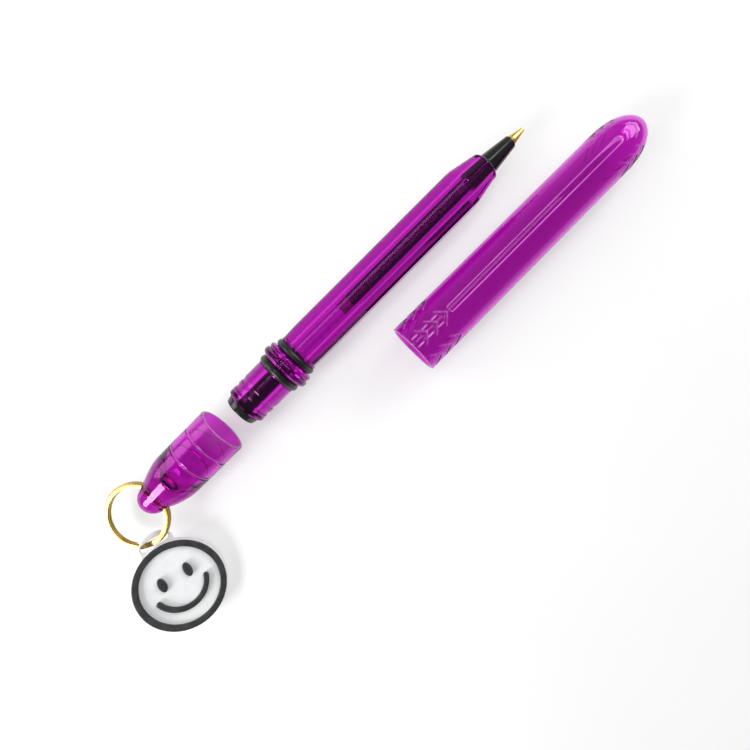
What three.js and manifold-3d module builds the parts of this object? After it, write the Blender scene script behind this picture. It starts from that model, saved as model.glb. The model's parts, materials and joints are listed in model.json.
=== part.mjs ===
// A pocket ballpoint pen, taken apart: the barrel with its refill, the long cap beside it, and the
// end cap with its key ring and charm. Millimetres, +X towards the writing tip, +Z up.
import * as THREE from 'three';
import { mergeVertices } from 'three/addons/utils/BufferGeometryUtils.js';
import Module from 'manifold-3d';

const wasm = await Module();
wasm.setup();

// Clearances
const SLIP = 0.05;

// Where the three units lie: the pen's axis, the long cap's axis, and their ends
const PEN_AXIS_Y = 15.8;
const LONG_CAP_AXIS_Y = -2.0;
const BARREL_REAR_X = -27.7;
const LONG_CAP_MOUTH_X = 10.2;
const END_CAP_PARTING = 5.7;

// Barrel: a turned rear and a six-sided grip with its corner up
const PLUG_FLANGE_LENGTH = 1.6;
const SPIGOT_DIAMETER = 9.75;
const RIDGE_DIAMETER = 9.72;
const SPIGOT_GROOVE_DIAMETER = 9.4;
const RIDGE_WIDTH = 1.6;
const REAR_SEAL_AT = 12.65;
const REAR_SEAL_SECTION = 2.0;
const FRONT_SEAL_AT = 17.9;
const FRONT_SEAL_SECTION = 1.76;
const SEAL_CENTRE_DIAMETER = 8.84;
const BULGE_DIAMETER = 12.3;
const BULGE_FRONT_LOBE_DIAMETER = 11.8;
const COLLAR_DIAMETER = 10.04;
const GRIP_ACROSS_FLATS = 9.4;
const GRIP_ACROSS_CORNERS = 10.35;
const COLLAR_ACROSS_FLATS = 9.4;
const FLARE_LENGTH = 3.2;
const FLARE_ACROSS_CORNERS = 10.35;
const GRIP_START = 24.6;
const TAPER_START = 71.8;
const TAPER_CORNER_DIAMETER = 10.1;
const LIP_START = 78.7;
const LIP_ACROSS_FLATS = 6.74;
const LIP_ACROSS_CORNERS = 7.3;
const LIP_LENGTH = 0.65;
const LIP_FACE_DIAMETER = 5.7;
const BORE_DIAMETER = 4.2;

// Rear plug
const PLUG_FLANGE_DIAMETER = 8.44;
const PLUG_REAR_DIAMETER = 7.7;
const PLUG_SHANK_LENGTH = 9.8;

// Refill
const TUBE_DIAMETER = 3.0;
const TUBE_BORE = 2.2;
const TUBE_LENGTH = 52.8;
const INK_LENGTH = 34.8;
const GREASE_LENGTH = 2.6;
const NIPPLE_LENGTH = 2.8;
const SHANK_LENGTH = 6.35;
const HOLDER_BASE_DIAMETER = 5.14;
const HOLDER_NOSE_DIAMETER = 3.1;
const HOLDER_CONE_LENGTH = 7.7;
const INK_CHANNEL_DIAMETER = 1.0;
const POINT_BASE_DIAMETER = 2.4;
const POINT_TIP_DIAMETER = 0.9;
const POINT_CONE_LENGTH = 3.95;
const POINT_SHANK_LENGTH = 5.0;
const POINT_CHANNEL_DIAMETER = 0.4;
const BALL_DIAMETER = 0.7;
const BALL_SHOWING = 0.25;

// Long cap
const LONG_CAP_LENGTH = 73.4;
const LONG_CAP_MOUTH_DIAMETER = 12.6;
const LONG_CAP_END_DIAMETER = 11.75;
const LONG_CAP_DOME_LENGTH = 10.9;
const LONG_CAP_MOUTH_BORE = 11.0;
const LONG_CAP_END_BORE = 10.4;
const LONG_CAP_END_WALL = 0.8;
const CHANNEL_WIDTH = 2.05;
const CHANNEL_DEPTH = 0.3;
const CHANNEL_START = 11.1;
const CHANNEL_END_FROM_TOP = 9.3;
const CHEVRON_COLUMNS = 6;
const CHEVRON_HALF_WIDTH = 2.3;
const CHEVRON_LINE = 0.42;
const CHEVRON_DEPTH = 0.32;
const CHEVRON_PITCH = 2.97;
const MOUTH_CHEVRON_APEX = 4.85;
const DOME_CHEVRON_APEX = 9.5;
const DOME_CHEVRON_PITCH = 2.6;
const SIDE_COLUMN_SETBACK = 1.1;
const CHEVRONS_IN_COLUMN = 3;

// End cap
const END_CAP_LENGTH = 25.5;
const END_CAP_DIAMETER = 12.1;
const END_CAP_BORE = 10.5;
const END_CAP_DEEP_BORE = 10.1;
const END_CAP_GROOVE_DEPTH = 0.18;
const END_CAP_GROOVE_WIDTH = 0.7;
const END_CAP_GROOVES = [4.9, 10.05];
const END_CAP_SHOULDER = 15.0;
const END_CAP_NECK = 20.9;
const END_CAP_NECK_DIAMETER = 8.3;
const TAIL_BULB_DIAMETER = 7.3;
const END_CAP_CAVITY_DEPTH = 17.4;
const CROSS_HOLE_DIAMETER = 3.1;
const CROSS_HOLE_FROM_TAIL = 4.3;

// Split ring: two turns of flat wire
const RING_DIAMETER = 16.0;
const RING_WIRE_WIDTH = 1.3;
const RING_WIRE_HEIGHT = 0.6;
const RING_TURN_GAP = 0.08;
const RING_STEPS_PER_TURN = 36;
const RING_STEP_ARC = 30;
const RING_SPLIT_AT = 200;
const RING_TILT = 9;

// Charm: a soft disc that leans on the floor, its tab threaded on the ring
const CHARM_DIAMETER = 20.9;
const CHARM_BASE_THICKNESS = 2.2;
const CHARM_RELIEF = 0.7;
const OUTLINE_WIDTH = 1.46;
const OUTLINE_INSET = 0.12;
const EYE_WIDTH = 1.9;
const EYE_HEIGHT = 3.4;
const EYE_INSET = 5.03;
const EYE_ANGLE = 35.4;
const MOUTH_INSET = 2.88;
const MOUTH_STROKE = 1.25;
const MOUTH_HALF_ANGLE = 71;
const MOUTH_ARC_ABOVE_CENTRE = 0.79;
const TAB_WIDTH = 8.0;
const TAB_THICKNESS = 1.0;
const TAB_TWIST = 11;
const SLOT_LENGTH = 6.2;
const SLOT_WIDTH = 2.0;
const SLOT_RIM_GAP = 0.05;
const TAB_END_WALL = 1.2;
const CHARM_ON_RING = 15;
const CHARM_RISE = 5.4;
const CHARM_ROLL = 14.3;

const SIDES = 36;
const degrees = THREE.MathUtils.degToRad;

const plastic = new THREE.MeshStandardMaterial({
  color: 0xa3168f, roughness: 0.12, metalness: 0, transparent: true, opacity: 0.62,
});
const rubber = new THREE.MeshStandardMaterial({ color: 0x14161a, roughness: 0.55, metalness: 0 });
const blackPlastic = new THREE.MeshStandardMaterial({ color: 0x101013, roughness: 0.2, metalness: 0 });
const clearPlastic = new THREE.MeshStandardMaterial({
  color: 0xe4e8f0, roughness: 0.15, metalness: 0, transparent: true, opacity: 0.4,
});
const ink = new THREE.MeshStandardMaterial({ color: 0x07070a, roughness: 0.3, metalness: 0 });
const grease = new THREE.MeshStandardMaterial({ color: 0xd8cfa6, roughness: 0.5, metalness: 0 });
const brass = new THREE.MeshStandardMaterial({ color: 0xd9b45a, roughness: 0.25, metalness: 1 });
const carbide = new THREE.MeshStandardMaterial({ color: 0x5b5d63, roughness: 0.2, metalness: 1 });
const gold = new THREE.MeshStandardMaterial({ color: 0xe0bf62, roughness: 0.18, metalness: 1 });
const whiteVinyl = new THREE.MeshStandardMaterial({ color: 0xf3f4f5, roughness: 0.5, metalness: 0 });
const darkVinyl = new THREE.MeshStandardMaterial({ color: 0x3c3d3f, roughness: 0.5, metalness: 0 });

// Turns a closed geometry into a solid that can be cut and joined.
function toSolid(geometry) {
  const bare = geometry.index ? geometry.clone() : geometry;
  bare.deleteAttribute('normal');
  bare.deleteAttribute('uv');
  const merged = mergeVertices(bare, 1e-4);
  const solid = new wasm.Manifold(new wasm.Mesh({
    numProp: 3,
    vertProperties: new Float32Array(merged.attributes.position.array),
    triVerts: new Uint32Array(merged.index.array),
  }));
  if (solid.volume() >= 0) return solid;
  const flipped = Uint32Array.from(merged.index.array);
  for (let i = 0; i < flipped.length; i += 3) {
    const second = flipped[i + 1];
    flipped[i + 1] = flipped[i + 2];
    flipped[i + 2] = second;
  }
  return new wasm.Manifold(new wasm.Mesh({
    numProp: 3,
    vertProperties: new Float32Array(merged.attributes.position.array),
    triVerts: flipped,
  }));
}

function toGeometry(solid) {
  const mesh = solid.getMesh();
  const geometry = new THREE.BufferGeometry();
  geometry.setAttribute('position', new THREE.BufferAttribute(new Float32Array(mesh.vertProperties), 3));
  geometry.setIndex(new THREE.BufferAttribute(new Uint32Array(mesh.triVerts), 1));
  return geometry;
}

// A body turned about X from a profile of [station, radius] points.
function turned(profile, sides = SIDES) {
  const points = profile.map(([station, radius]) => new THREE.Vector2(radius, station));
  return toSolid(new THREE.LatheGeometry(points, sides).rotateZ(-Math.PI / 2));
}

// Skins closed rings of equal point count; the last ring joins the first, or both ends are capped.
function skinned(rings, closed) {
  const count = rings[0].length;
  const positions = rings.flat(2);
  const index = [];
  const pairs = closed ? rings.length : rings.length - 1;
  for (let i = 0; i < pairs; i++) {
    const here = i * count;
    const next = ((i + 1) % rings.length) * count;
    for (let j = 0; j < count; j++) {
      const k = (j + 1) % count;
      index.push(here + j, next + j, next + k, here + j, next + k, here + k);
    }
  }
  if (!closed) {
    const last = (rings.length - 1) * count;
    for (let j = 1; j < count - 1; j++) {
      index.push(0, j, j + 1);
      index.push(last, last + j + 1, last + j);
    }
  }
  const geometry = new THREE.BufferGeometry();
  geometry.setAttribute('position', new THREE.BufferAttribute(new Float32Array(positions), 3));
  geometry.setIndex(index);
  return toSolid(geometry);
}

function named(name, solid, material) {
  const mesh = new THREE.Mesh(toGeometry(solid), material);
  mesh.name = name;
  return mesh;
}

// Angles round a six-sided section: each flat has its ends and three points between, and each
// rounded corner its middle. The first corner points up.
function gripAngles(cornerStart) {
  const angles = [];
  for (let side = 0; side < 6; side++) {
    const flat = 60 * side + 30;
    for (const offset of [-30, -cornerStart, -cornerStart / 2, 0, cornerStart / 2, cornerStart]) {
      angles.push(degrees(flat + offset));
    }
  }
  return angles;
}

// One ring of the barrel: a hexagon of the given width across flats, its corners cut by a circle.
function gripRing(station, acrossFlats, acrossCorners, angles) {
  return angles.map((angle) => {
    const fromFlat = Math.abs(((angle * 180 / Math.PI) % 60) - 30);
    const radius = Math.min(acrossFlats / 2 / Math.cos(degrees(fromFlat)), acrossCorners / 2);
    return [station, radius * Math.sin(angle), radius * Math.cos(angle)];
  });
}

function roundRing(station, diameter, angles) {
  return angles.map((angle) => [station, diameter / 2 * Math.sin(angle), diameter / 2 * Math.cos(angle)]);
}

// Stations along the pen, from the rear face of the plug
const spigotStart = PLUG_FLANGE_LENGTH + SLIP;
const rearSealStart = REAR_SEAL_AT - REAR_SEAL_SECTION / 2 - SLIP;
const rearSealEnd = REAR_SEAL_AT + REAR_SEAL_SECTION / 2 + SLIP;
const frontSealStart = FRONT_SEAL_AT - FRONT_SEAL_SECTION / 2 - SLIP;
const frontSealEnd = FRONT_SEAL_AT + FRONT_SEAL_SECTION / 2 + SLIP;
const lipEnd = LIP_START + LIP_LENGTH;
const holderBase = lipEnd + SLIP;
const holderNose = holderBase + HOLDER_CONE_LENGTH;
const shankStart = lipEnd - SHANK_LENGTH;
const nippleStart = shankStart - NIPPLE_LENGTH;
const tubeEnd = shankStart - SLIP;
const tubeStart = tubeEnd - TUBE_LENGTH;
const inkEnd = nippleStart - SLIP;
const inkStart = inkEnd - INK_LENGTH;
const greaseEnd = inkStart - SLIP;
const greaseStart = greaseEnd - GREASE_LENGTH;
const pointBase = holderNose + SLIP;
const pointRim = pointBase + POINT_CONE_LENGTH;
const penTip = pointRim + BALL_SHOWING;
const ballCentre = penTip - BALL_DIAMETER / 2;
const tubeFit = TUBE_BORE - 2 * SLIP;
const shankDiameter = BORE_DIAMETER - 2 * SLIP;

function makeBarrel() {
  const cornerStart = THREE.MathUtils.radToDeg(Math.acos(GRIP_ACROSS_FLATS / GRIP_ACROSS_CORNERS));
  const angles = gripAngles(cornerStart);
  const round = (station, diameter) => roundRing(station, diameter, angles);
  const rearGroove = SEAL_CENTRE_DIAMETER - REAR_SEAL_SECTION - 2 * SLIP;
  const frontGroove = SEAL_CENTRE_DIAMETER - FRONT_SEAL_SECTION - 2 * SLIP;
  const firstRidgeEnd = spigotStart + 0.4 + RIDGE_WIDTH;
  const secondRidgeStart = firstRidgeEnd + 1.2;
  const secondRidgeEnd = secondRidgeStart + RIDGE_WIDTH / 2;
  const lobeSpan = frontSealStart - rearSealEnd;
  const rings = [
    round(spigotStart, BORE_DIAMETER),
    round(spigotStart, PLUG_FLANGE_DIAMETER),
    round(spigotStart + 0.4, RIDGE_DIAMETER),
    round(firstRidgeEnd, RIDGE_DIAMETER),
    round(firstRidgeEnd + 0.3, SPIGOT_GROOVE_DIAMETER),
    round(secondRidgeStart - 0.3, SPIGOT_GROOVE_DIAMETER),
    round(secondRidgeStart, SPIGOT_DIAMETER),
    round(secondRidgeEnd, SPIGOT_DIAMETER),
    round(secondRidgeEnd + 0.3, SPIGOT_GROOVE_DIAMETER),
    round(secondRidgeEnd + 0.8, SPIGOT_GROOVE_DIAMETER),
    round(secondRidgeEnd + 1.2, SPIGOT_DIAMETER),
    round(rearSealStart, SPIGOT_DIAMETER),
    round(rearSealStart, rearGroove),
    round(rearSealEnd, rearGroove),
    round(rearSealEnd, COLLAR_DIAMETER),
  ];
  for (const share of [0.06, 0.16, 0.3, 0.44, 0.56]) {
    const swell = Math.sin(Math.PI * Math.min(1, share / 0.6)) ** 0.45;
    const lobe = THREE.MathUtils.lerp(COLLAR_DIAMETER, BULGE_DIAMETER, swell);
    rings.push(round(rearSealEnd + share * lobeSpan, lobe));
  }
  rings.push(round(rearSealEnd + 0.64 * lobeSpan, BULGE_FRONT_LOBE_DIAMETER - 0.5));
  rings.push(round(rearSealEnd + 0.76 * lobeSpan, BULGE_FRONT_LOBE_DIAMETER));
  rings.push(round(rearSealEnd + 0.88 * lobeSpan, BULGE_FRONT_LOBE_DIAMETER - 0.3));
  rings.push(round(frontSealStart, COLLAR_DIAMETER));
  rings.push(round(frontSealStart, frontGroove));
  rings.push(round(frontSealEnd, frontGroove));
  rings.push(round(frontSealEnd, COLLAR_DIAMETER - 0.3));
  rings.push(round(frontSealEnd + 0.15, COLLAR_DIAMETER));
  const flareStart = frontSealEnd + 0.55;
  rings.push(gripRing(flareStart, COLLAR_ACROSS_FLATS, COLLAR_DIAMETER, angles));
  rings.push(gripRing(flareStart + FLARE_LENGTH, GRIP_ACROSS_FLATS, FLARE_ACROSS_CORNERS, angles));
  rings.push(gripRing(GRIP_START, GRIP_ACROSS_FLATS, GRIP_ACROSS_CORNERS, angles));
  rings.push(gripRing(TAPER_START - 1.2, GRIP_ACROSS_FLATS, GRIP_ACROSS_CORNERS, angles));
  rings.push(gripRing(TAPER_START, GRIP_ACROSS_FLATS, TAPER_CORNER_DIAMETER, angles));
  rings.push(gripRing(LIP_START, LIP_ACROSS_FLATS, LIP_ACROSS_CORNERS, angles));
  rings.push(round(LIP_START + LIP_LENGTH * 0.7, LIP_ACROSS_FLATS - 0.3));
  rings.push(round(lipEnd, LIP_FACE_DIAMETER));
  rings.push(round(lipEnd, BORE_DIAMETER));
  return skinned(rings, true);
}

function makeSeal(section) {
  const torus = new THREE.TorusGeometry(SEAL_CENTRE_DIAMETER / 2, section / 2, 10, SIDES);
  return toSolid(torus.rotateY(Math.PI / 2));
}

function makeRearPlug() {
  return turned([
    [0, 0],
    [0, PLUG_REAR_DIAMETER / 2 - 0.4],
    [0.15, PLUG_REAR_DIAMETER / 2],
    [PLUG_FLANGE_LENGTH, PLUG_FLANGE_DIAMETER / 2],
    [PLUG_FLANGE_LENGTH, shankDiameter / 2],
    [PLUG_FLANGE_LENGTH + PLUG_SHANK_LENGTH - 0.5, shankDiameter / 2],
    [PLUG_FLANGE_LENGTH + PLUG_SHANK_LENGTH, shankDiameter / 2 - 0.5],
    [PLUG_FLANGE_LENGTH + PLUG_SHANK_LENGTH, 0],
  ]);
}

// A tube between two stations, as a closed profile.
function tube(start, end, outer, inner) {
  return turned([
    [start, inner / 2],
    [start, outer / 2],
    [end, outer / 2],
    [end, inner / 2],
    [start, inner / 2],
  ]);
}

function rod(start, end, diameter) {
  return turned([[start, 0], [start, diameter / 2], [end, diameter / 2], [end, 0]], 24);
}

function makeTipHolder() {
  const pocket = POINT_BASE_DIAMETER / 2;
  const pocketEnd = pointBase - POINT_SHANK_LENGTH - SLIP;
  return turned([
    [nippleStart, INK_CHANNEL_DIAMETER / 2],
    [nippleStart, tubeFit / 2 - 0.2],
    [nippleStart + 0.4, tubeFit / 2],
    [shankStart, tubeFit / 2],
    [shankStart, shankDiameter / 2],
    [holderBase, shankDiameter / 2],
    [holderBase, HOLDER_BASE_DIAMETER / 2 - 0.15],
    [holderBase + 0.15, HOLDER_BASE_DIAMETER / 2],
    [holderNose - 0.25, HOLDER_NOSE_DIAMETER / 2 + 0.03],
    [holderNose, HOLDER_NOSE_DIAMETER / 2 - 0.2],
    [holderNose, pocket - 0.05],
    [pocketEnd, pocket - 0.05],
    [pocketEnd, INK_CHANNEL_DIAMETER / 2],
    [nippleStart, INK_CHANNEL_DIAMETER / 2],
  ]);
}

// The brass cone: its shank fits the holder, and its cup closes just past the ball's middle.
function makeWritingPoint() {
  const shank = POINT_BASE_DIAMETER / 2 - 0.05 - SLIP;
  const cup = BALL_DIAMETER / 2 + 0.03;
  const rimInner = Math.sqrt((BALL_DIAMETER / 2) ** 2 - (pointRim - ballCentre) ** 2) + 0.02;
  return turned([
    [pointBase - POINT_SHANK_LENGTH, POINT_CHANNEL_DIAMETER / 2],
    [pointBase - POINT_SHANK_LENGTH, shank],
    [pointBase, shank],
    [pointBase, POINT_BASE_DIAMETER / 2 - 0.1],
    [pointBase + 0.15, POINT_BASE_DIAMETER / 2],
    [pointBase + 0.6, POINT_BASE_DIAMETER / 2],
    [pointRim, POINT_TIP_DIAMETER / 2],
    [pointRim, rimInner],
    [ballCentre, cup],
    [ballCentre - cup, cup],
    [ballCentre - cup - 0.2, POINT_CHANNEL_DIAMETER / 2],
    [pointBase - POINT_SHANK_LENGTH, POINT_CHANNEL_DIAMETER / 2],
  ], 24);
}

// Outer and inner radius of the long cap at a station from its mouth.
function longCapRadius(station) {
  const domeStart = LONG_CAP_LENGTH - LONG_CAP_DOME_LENGTH;
  const share = Math.min(1, station / domeStart);
  const straight = THREE.MathUtils.lerp(LONG_CAP_MOUTH_DIAMETER, LONG_CAP_END_DIAMETER, share) / 2;
  if (station <= domeStart) return straight;
  return straight * Math.sqrt(Math.max(0, 1 - ((station - domeStart) / LONG_CAP_DOME_LENGTH) ** 2.2));
}

function makeLongCapShell() {
  const domeStart = LONG_CAP_LENGTH - LONG_CAP_DOME_LENGTH;
  const boreEnd = LONG_CAP_LENGTH - LONG_CAP_END_WALL;
  const mouthLip = 0.15;
  const profile = [
    [0, LONG_CAP_MOUTH_BORE / 2 + mouthLip],
    [0, LONG_CAP_MOUTH_DIAMETER / 2 - mouthLip],
    [mouthLip, LONG_CAP_MOUTH_DIAMETER / 2],
    [domeStart, LONG_CAP_END_DIAMETER / 2],
  ];
  for (const share of [0.2, 0.38, 0.54, 0.68, 0.8, 0.9, 0.97]) {
    const station = domeStart + share * LONG_CAP_DOME_LENGTH;
    profile.push([station, longCapRadius(station)]);
  }
  profile.push([LONG_CAP_LENGTH, 0]);
  profile.push([boreEnd, 0]);
  const boreDome = boreEnd - domeStart;
  for (const share of [0.96, 0.86, 0.72, 0.52, 0.28]) {
    profile.push([domeStart + share * boreDome, LONG_CAP_END_BORE / 2 * Math.sqrt(1 - share ** 2)]);
  }
  profile.push([domeStart, LONG_CAP_END_BORE / 2]);
  profile.push([mouthLip, LONG_CAP_MOUTH_BORE / 2]);
  profile.push([0, LONG_CAP_MOUTH_BORE / 2 + mouthLip]);
  profile.reverse();
  const axisFirst = profile.findIndex(([, radius]) => radius === 0);
  const ordered = [...profile.slice(axisFirst), ...profile.slice(1, axisFirst)];
  return turnedShell(ordered);
}

// A turned shell whose profile starts and ends on the axis.
function turnedShell(profile) {
  const onAxis = profile.map(([, radius], i) => (radius === 0 ? i : -1)).filter((i) => i >= 0);
  const [first, second] = onAxis;
  const ring = [...profile.slice(second), ...profile.slice(0, first + 1)];
  return turned(ring);
}

// A flat cutter in the shape of a V, its point towards +X, lying on the cap's side at an angle.
function chevronCutter(apex, radius, angle) {
  const half = CHEVRON_HALF_WIDTH;
  const line = CHEVRON_LINE * Math.SQRT2;
  const shape = new THREE.Shape();
  shape.moveTo(apex, 0);
  shape.lineTo(apex - half, half);
  shape.lineTo(apex - half - line / 2, half - line / 2);
  shape.lineTo(apex - line, 0);
  shape.lineTo(apex - half - line / 2, line / 2 - half);
  shape.lineTo(apex - half, -half);
  shape.closePath();
  const block = new THREE.ExtrudeGeometry(shape, { depth: 2, bevelEnabled: false });
  block.translate(0, 0, radius - CHEVRON_DEPTH);
  return toSolid(block.rotateX(angle));
}

// The straight channel along the top of the cap, with a round end at the dome.
function channelCutter() {
  const half = CHANNEL_WIDTH / 2;
  const endCentre = LONG_CAP_LENGTH - CHANNEL_END_FROM_TOP - half;
  const shape = new THREE.Shape();
  shape.moveTo(CHANNEL_START, -half);
  shape.lineTo(endCentre, -half);
  shape.absarc(endCentre, 0, half, -Math.PI / 2, Math.PI / 2, false);
  shape.lineTo(CHANNEL_START, half);
  shape.closePath();
  const block = new THREE.ExtrudeGeometry(shape, { depth: 2, bevelEnabled: false, curveSegments: 8 });
  const positions = block.attributes.position;
  for (let i = 0; i < positions.count; i++) {
    const floor = longCapRadius(positions.getX(i)) - CHANNEL_DEPTH;
    positions.setZ(i, positions.getZ(i) + floor);
  }
  return toSolid(block);
}

function makeLongCap() {
  let cap = makeLongCapShell().subtract(channelCutter());
  for (let column = 0; column < CHEVRON_COLUMNS; column++) {
    const angle = 2 * Math.PI * column / CHEVRON_COLUMNS;
    const setback = column === 0 ? 0 : SIDE_COLUMN_SETBACK;
    for (let row = 0; row < CHEVRONS_IN_COLUMN; row++) {
      const atMouth = MOUTH_CHEVRON_APEX - setback + row * CHEVRON_PITCH;
      const atDome = LONG_CAP_LENGTH - DOME_CHEVRON_APEX - setback + row * DOME_CHEVRON_PITCH;
      cap = cap.subtract(chevronCutter(atMouth, longCapRadius(atMouth), angle));
      cap = cap.subtract(chevronCutter(atDome, longCapRadius(atDome), angle));
    }
  }
  return cap;
}

// The end cap's outside from its mouth at station 0 to its tail, and the cavity inside.
function makeEndCap() {
  const outer = END_CAP_DIAMETER / 2;
  const lip = 0.15;
  const profile = [[END_CAP_CAVITY_DEPTH, 0]];
  profile.push([END_CAP_CAVITY_DEPTH, 1.6]);
  profile.push([END_CAP_CAVITY_DEPTH - 0.9, 3.1]);
  profile.push([END_CAP_SHOULDER, END_CAP_DEEP_BORE / 2 - 0.5]);
  profile.push([END_CAP_SHOULDER - 1.2, END_CAP_DEEP_BORE / 2]);
  profile.push([lip, END_CAP_BORE / 2]);
  profile.push([0, END_CAP_BORE / 2 + lip]);
  profile.push([0, outer - lip]);
  profile.push([lip, outer]);
  for (const groove of END_CAP_GROOVES) {
    profile.push([groove - END_CAP_GROOVE_WIDTH / 2, outer - 0.02]);
    profile.push([groove, outer - END_CAP_GROOVE_DEPTH]);
    profile.push([groove + END_CAP_GROOVE_WIDTH / 2, outer - 0.04]);
  }
  profile.push([END_CAP_SHOULDER, outer - 0.12]);
  for (const share of [0.35, 0.7]) {
    const drop = share ** 1.35;
    profile.push([
      THREE.MathUtils.lerp(END_CAP_SHOULDER, END_CAP_NECK, share),
      THREE.MathUtils.lerp(outer - 0.12, END_CAP_NECK_DIAMETER / 2, drop),
    ]);
  }
  profile.push([END_CAP_NECK, END_CAP_NECK_DIAMETER / 2]);
  const bulb = TAIL_BULB_DIAMETER / 2;
  const bulbCentre = END_CAP_LENGTH - bulb;
  for (const angle of [80, 60, 40, 20]) {
    profile.push([bulbCentre + bulb * Math.cos(degrees(angle)), bulb * Math.sin(degrees(angle))]);
  }
  profile.push([END_CAP_LENGTH, 0]);
  const hole = new THREE.CylinderGeometry(CROSS_HOLE_DIAMETER / 2, CROSS_HOLE_DIAMETER / 2, 12, 24);
  hole.translate(END_CAP_LENGTH - CROSS_HOLE_FROM_TAIL, 0, 0);
  return turned(profile).subtract(toSolid(hole));
}

// The split ring: one flat wire wound twice, stepping from the lower turn to the upper one.
function makeSplitRing() {
  const radius = (RING_DIAMETER - RING_WIRE_WIDTH) / 2;
  const level = (RING_WIRE_HEIGHT + RING_TURN_GAP) / 2;
  const stepStart = 360 - RING_STEP_ARC / 2;
  const stepEnd = 360 + RING_STEP_ARC / 2;
  const first = RING_STEP_ARC / 2 + 4;
  const last = 720 - first;
  const count = 2 * RING_STEPS_PER_TURN;
  const corner = 0.18;
  const w = RING_WIRE_WIDTH / 2;
  const h = RING_WIRE_HEIGHT / 2;
  const section = [
    [w, -h + corner], [w, h - corner], [w - corner, h], [-w + corner, h],
    [-w, h - corner], [-w, -h + corner], [-w + corner, -h], [w - corner, -h],
  ];
  const rings = [];
  for (let i = 0; i <= count; i++) {
    const turn = THREE.MathUtils.lerp(first, last, i / count);
    const climb = THREE.MathUtils.smoothstep(turn, stepStart, stepEnd);
    const height = THREE.MathUtils.lerp(-level, level, climb);
    const angle = degrees(turn + RING_SPLIT_AT);
    rings.push(section.map(([out, up]) => [
      (radius + out) * Math.cos(angle),
      (radius + out) * Math.sin(angle),
      height + up,
    ]));
  }
  return skinned(rings, false);
}

// The charm's own frame: the origin is where the ring's wire passes through the tab, +Y points
// from the disc out along the tab, and the disc lies in the XY plane.
const wireToRim = RING_WIRE_WIDTH / 2 + 0.3;
const discCentreY = -(CHARM_DIAMETER / 2 + SLOT_RIM_GAP + wireToRim);
const slotCentreY = SLOT_WIDTH / 2 - wireToRim;
const tabEndY = slotCentreY + SLOT_WIDTH / 2 + TAB_END_WALL;
const baseTop = CHARM_BASE_THICKNESS / 2;
const faceRadius = CHARM_DIAMETER / 2 - OUTLINE_INSET - OUTLINE_WIDTH;

function slab(shape, bottom, top, curveSegments = 24) {
  const block = new THREE.ExtrudeGeometry(shape, { depth: top - bottom, bevelEnabled: false, curveSegments });
  block.translate(0, 0, bottom);
  return block;
}

function makeTab() {
  const half = TAB_WIDTH / 2;
  const reach = half * 0.72;
  const outline = new THREE.Shape();
  outline.moveTo(-half, discCentreY + CHARM_DIAMETER / 2 - 2.5);
  outline.lineTo(half, discCentreY + CHARM_DIAMETER / 2 - 2.5);
  outline.lineTo(half, tabEndY - reach);
  outline.absellipse(0, tabEndY - reach, half, reach, 0, Math.PI, false, 0);
  outline.closePath();
  const slot = new THREE.Path();
  const run = (SLOT_LENGTH - SLOT_WIDTH) / 2;
  slot.moveTo(run, slotCentreY - SLOT_WIDTH / 2);
  slot.absarc(run, slotCentreY, SLOT_WIDTH / 2, -Math.PI / 2, Math.PI / 2, false);
  slot.absarc(-run, slotCentreY, SLOT_WIDTH / 2, Math.PI / 2, 3 * Math.PI / 2, false);
  slot.closePath();
  outline.holes.push(slot);
  return slab(outline, -TAB_THICKNESS / 2, TAB_THICKNESS / 2, 6).rotateY(degrees(TAB_TWIST));
}

function makeCharmBase() {
  const radius = CHARM_DIAMETER / 2;
  const edge = 0.25;
  const disc = new THREE.LatheGeometry([
    new THREE.Vector2(0, -baseTop),
    new THREE.Vector2(radius - edge, -baseTop),
    new THREE.Vector2(radius, edge - baseTop),
    new THREE.Vector2(radius, baseTop - edge / 2),
    new THREE.Vector2(radius - edge / 2, baseTop),
    new THREE.Vector2(0, baseTop),
  ], 48);
  disc.rotateX(Math.PI / 2);
  disc.translate(0, discCentreY, 0);
  const above = new THREE.CylinderGeometry(radius, radius, 2 * CHARM_BASE_THICKNESS, 48);
  above.rotateX(Math.PI / 2);
  above.translate(0, discCentreY, baseTop + CHARM_BASE_THICKNESS);
  return toSolid(makeTab()).subtract(toSolid(above)).add(toSolid(disc));
}

function makeCharmOutline() {
  const outer = CHARM_DIAMETER / 2 - OUTLINE_INSET;
  const inner = faceRadius;
  const bottom = baseTop + SLIP;
  const top = bottom + CHARM_RELIEF;
  const ring = new THREE.LatheGeometry([
    new THREE.Vector2(inner, bottom),
    new THREE.Vector2(outer, bottom),
    new THREE.Vector2(outer, top - 0.2),
    new THREE.Vector2(outer - 0.2, top),
    new THREE.Vector2(inner + 0.2, top),
    new THREE.Vector2(inner, top - 0.2),
    new THREE.Vector2(inner, bottom),
  ], 48);
  ring.rotateX(Math.PI / 2);
  ring.translate(0, discCentreY, 0);
  return toSolid(ring);
}

function makeEye(side) {
  const shape = new THREE.Shape();
  shape.absellipse(0, 0, EYE_WIDTH / 2, EYE_HEIGHT / 2, 0, 2 * Math.PI, false, 0);
  const bottom = baseTop + SLIP;
  const eye = slab(shape, bottom, bottom + CHARM_RELIEF, 20);
  const fromCentre = faceRadius - EYE_INSET;
  const across = side * fromCentre * Math.cos(degrees(EYE_ANGLE));
  const above = fromCentre * Math.sin(degrees(EYE_ANGLE));
  eye.translate(across, discCentreY + above, 0);
  return toSolid(eye);
}

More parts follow.
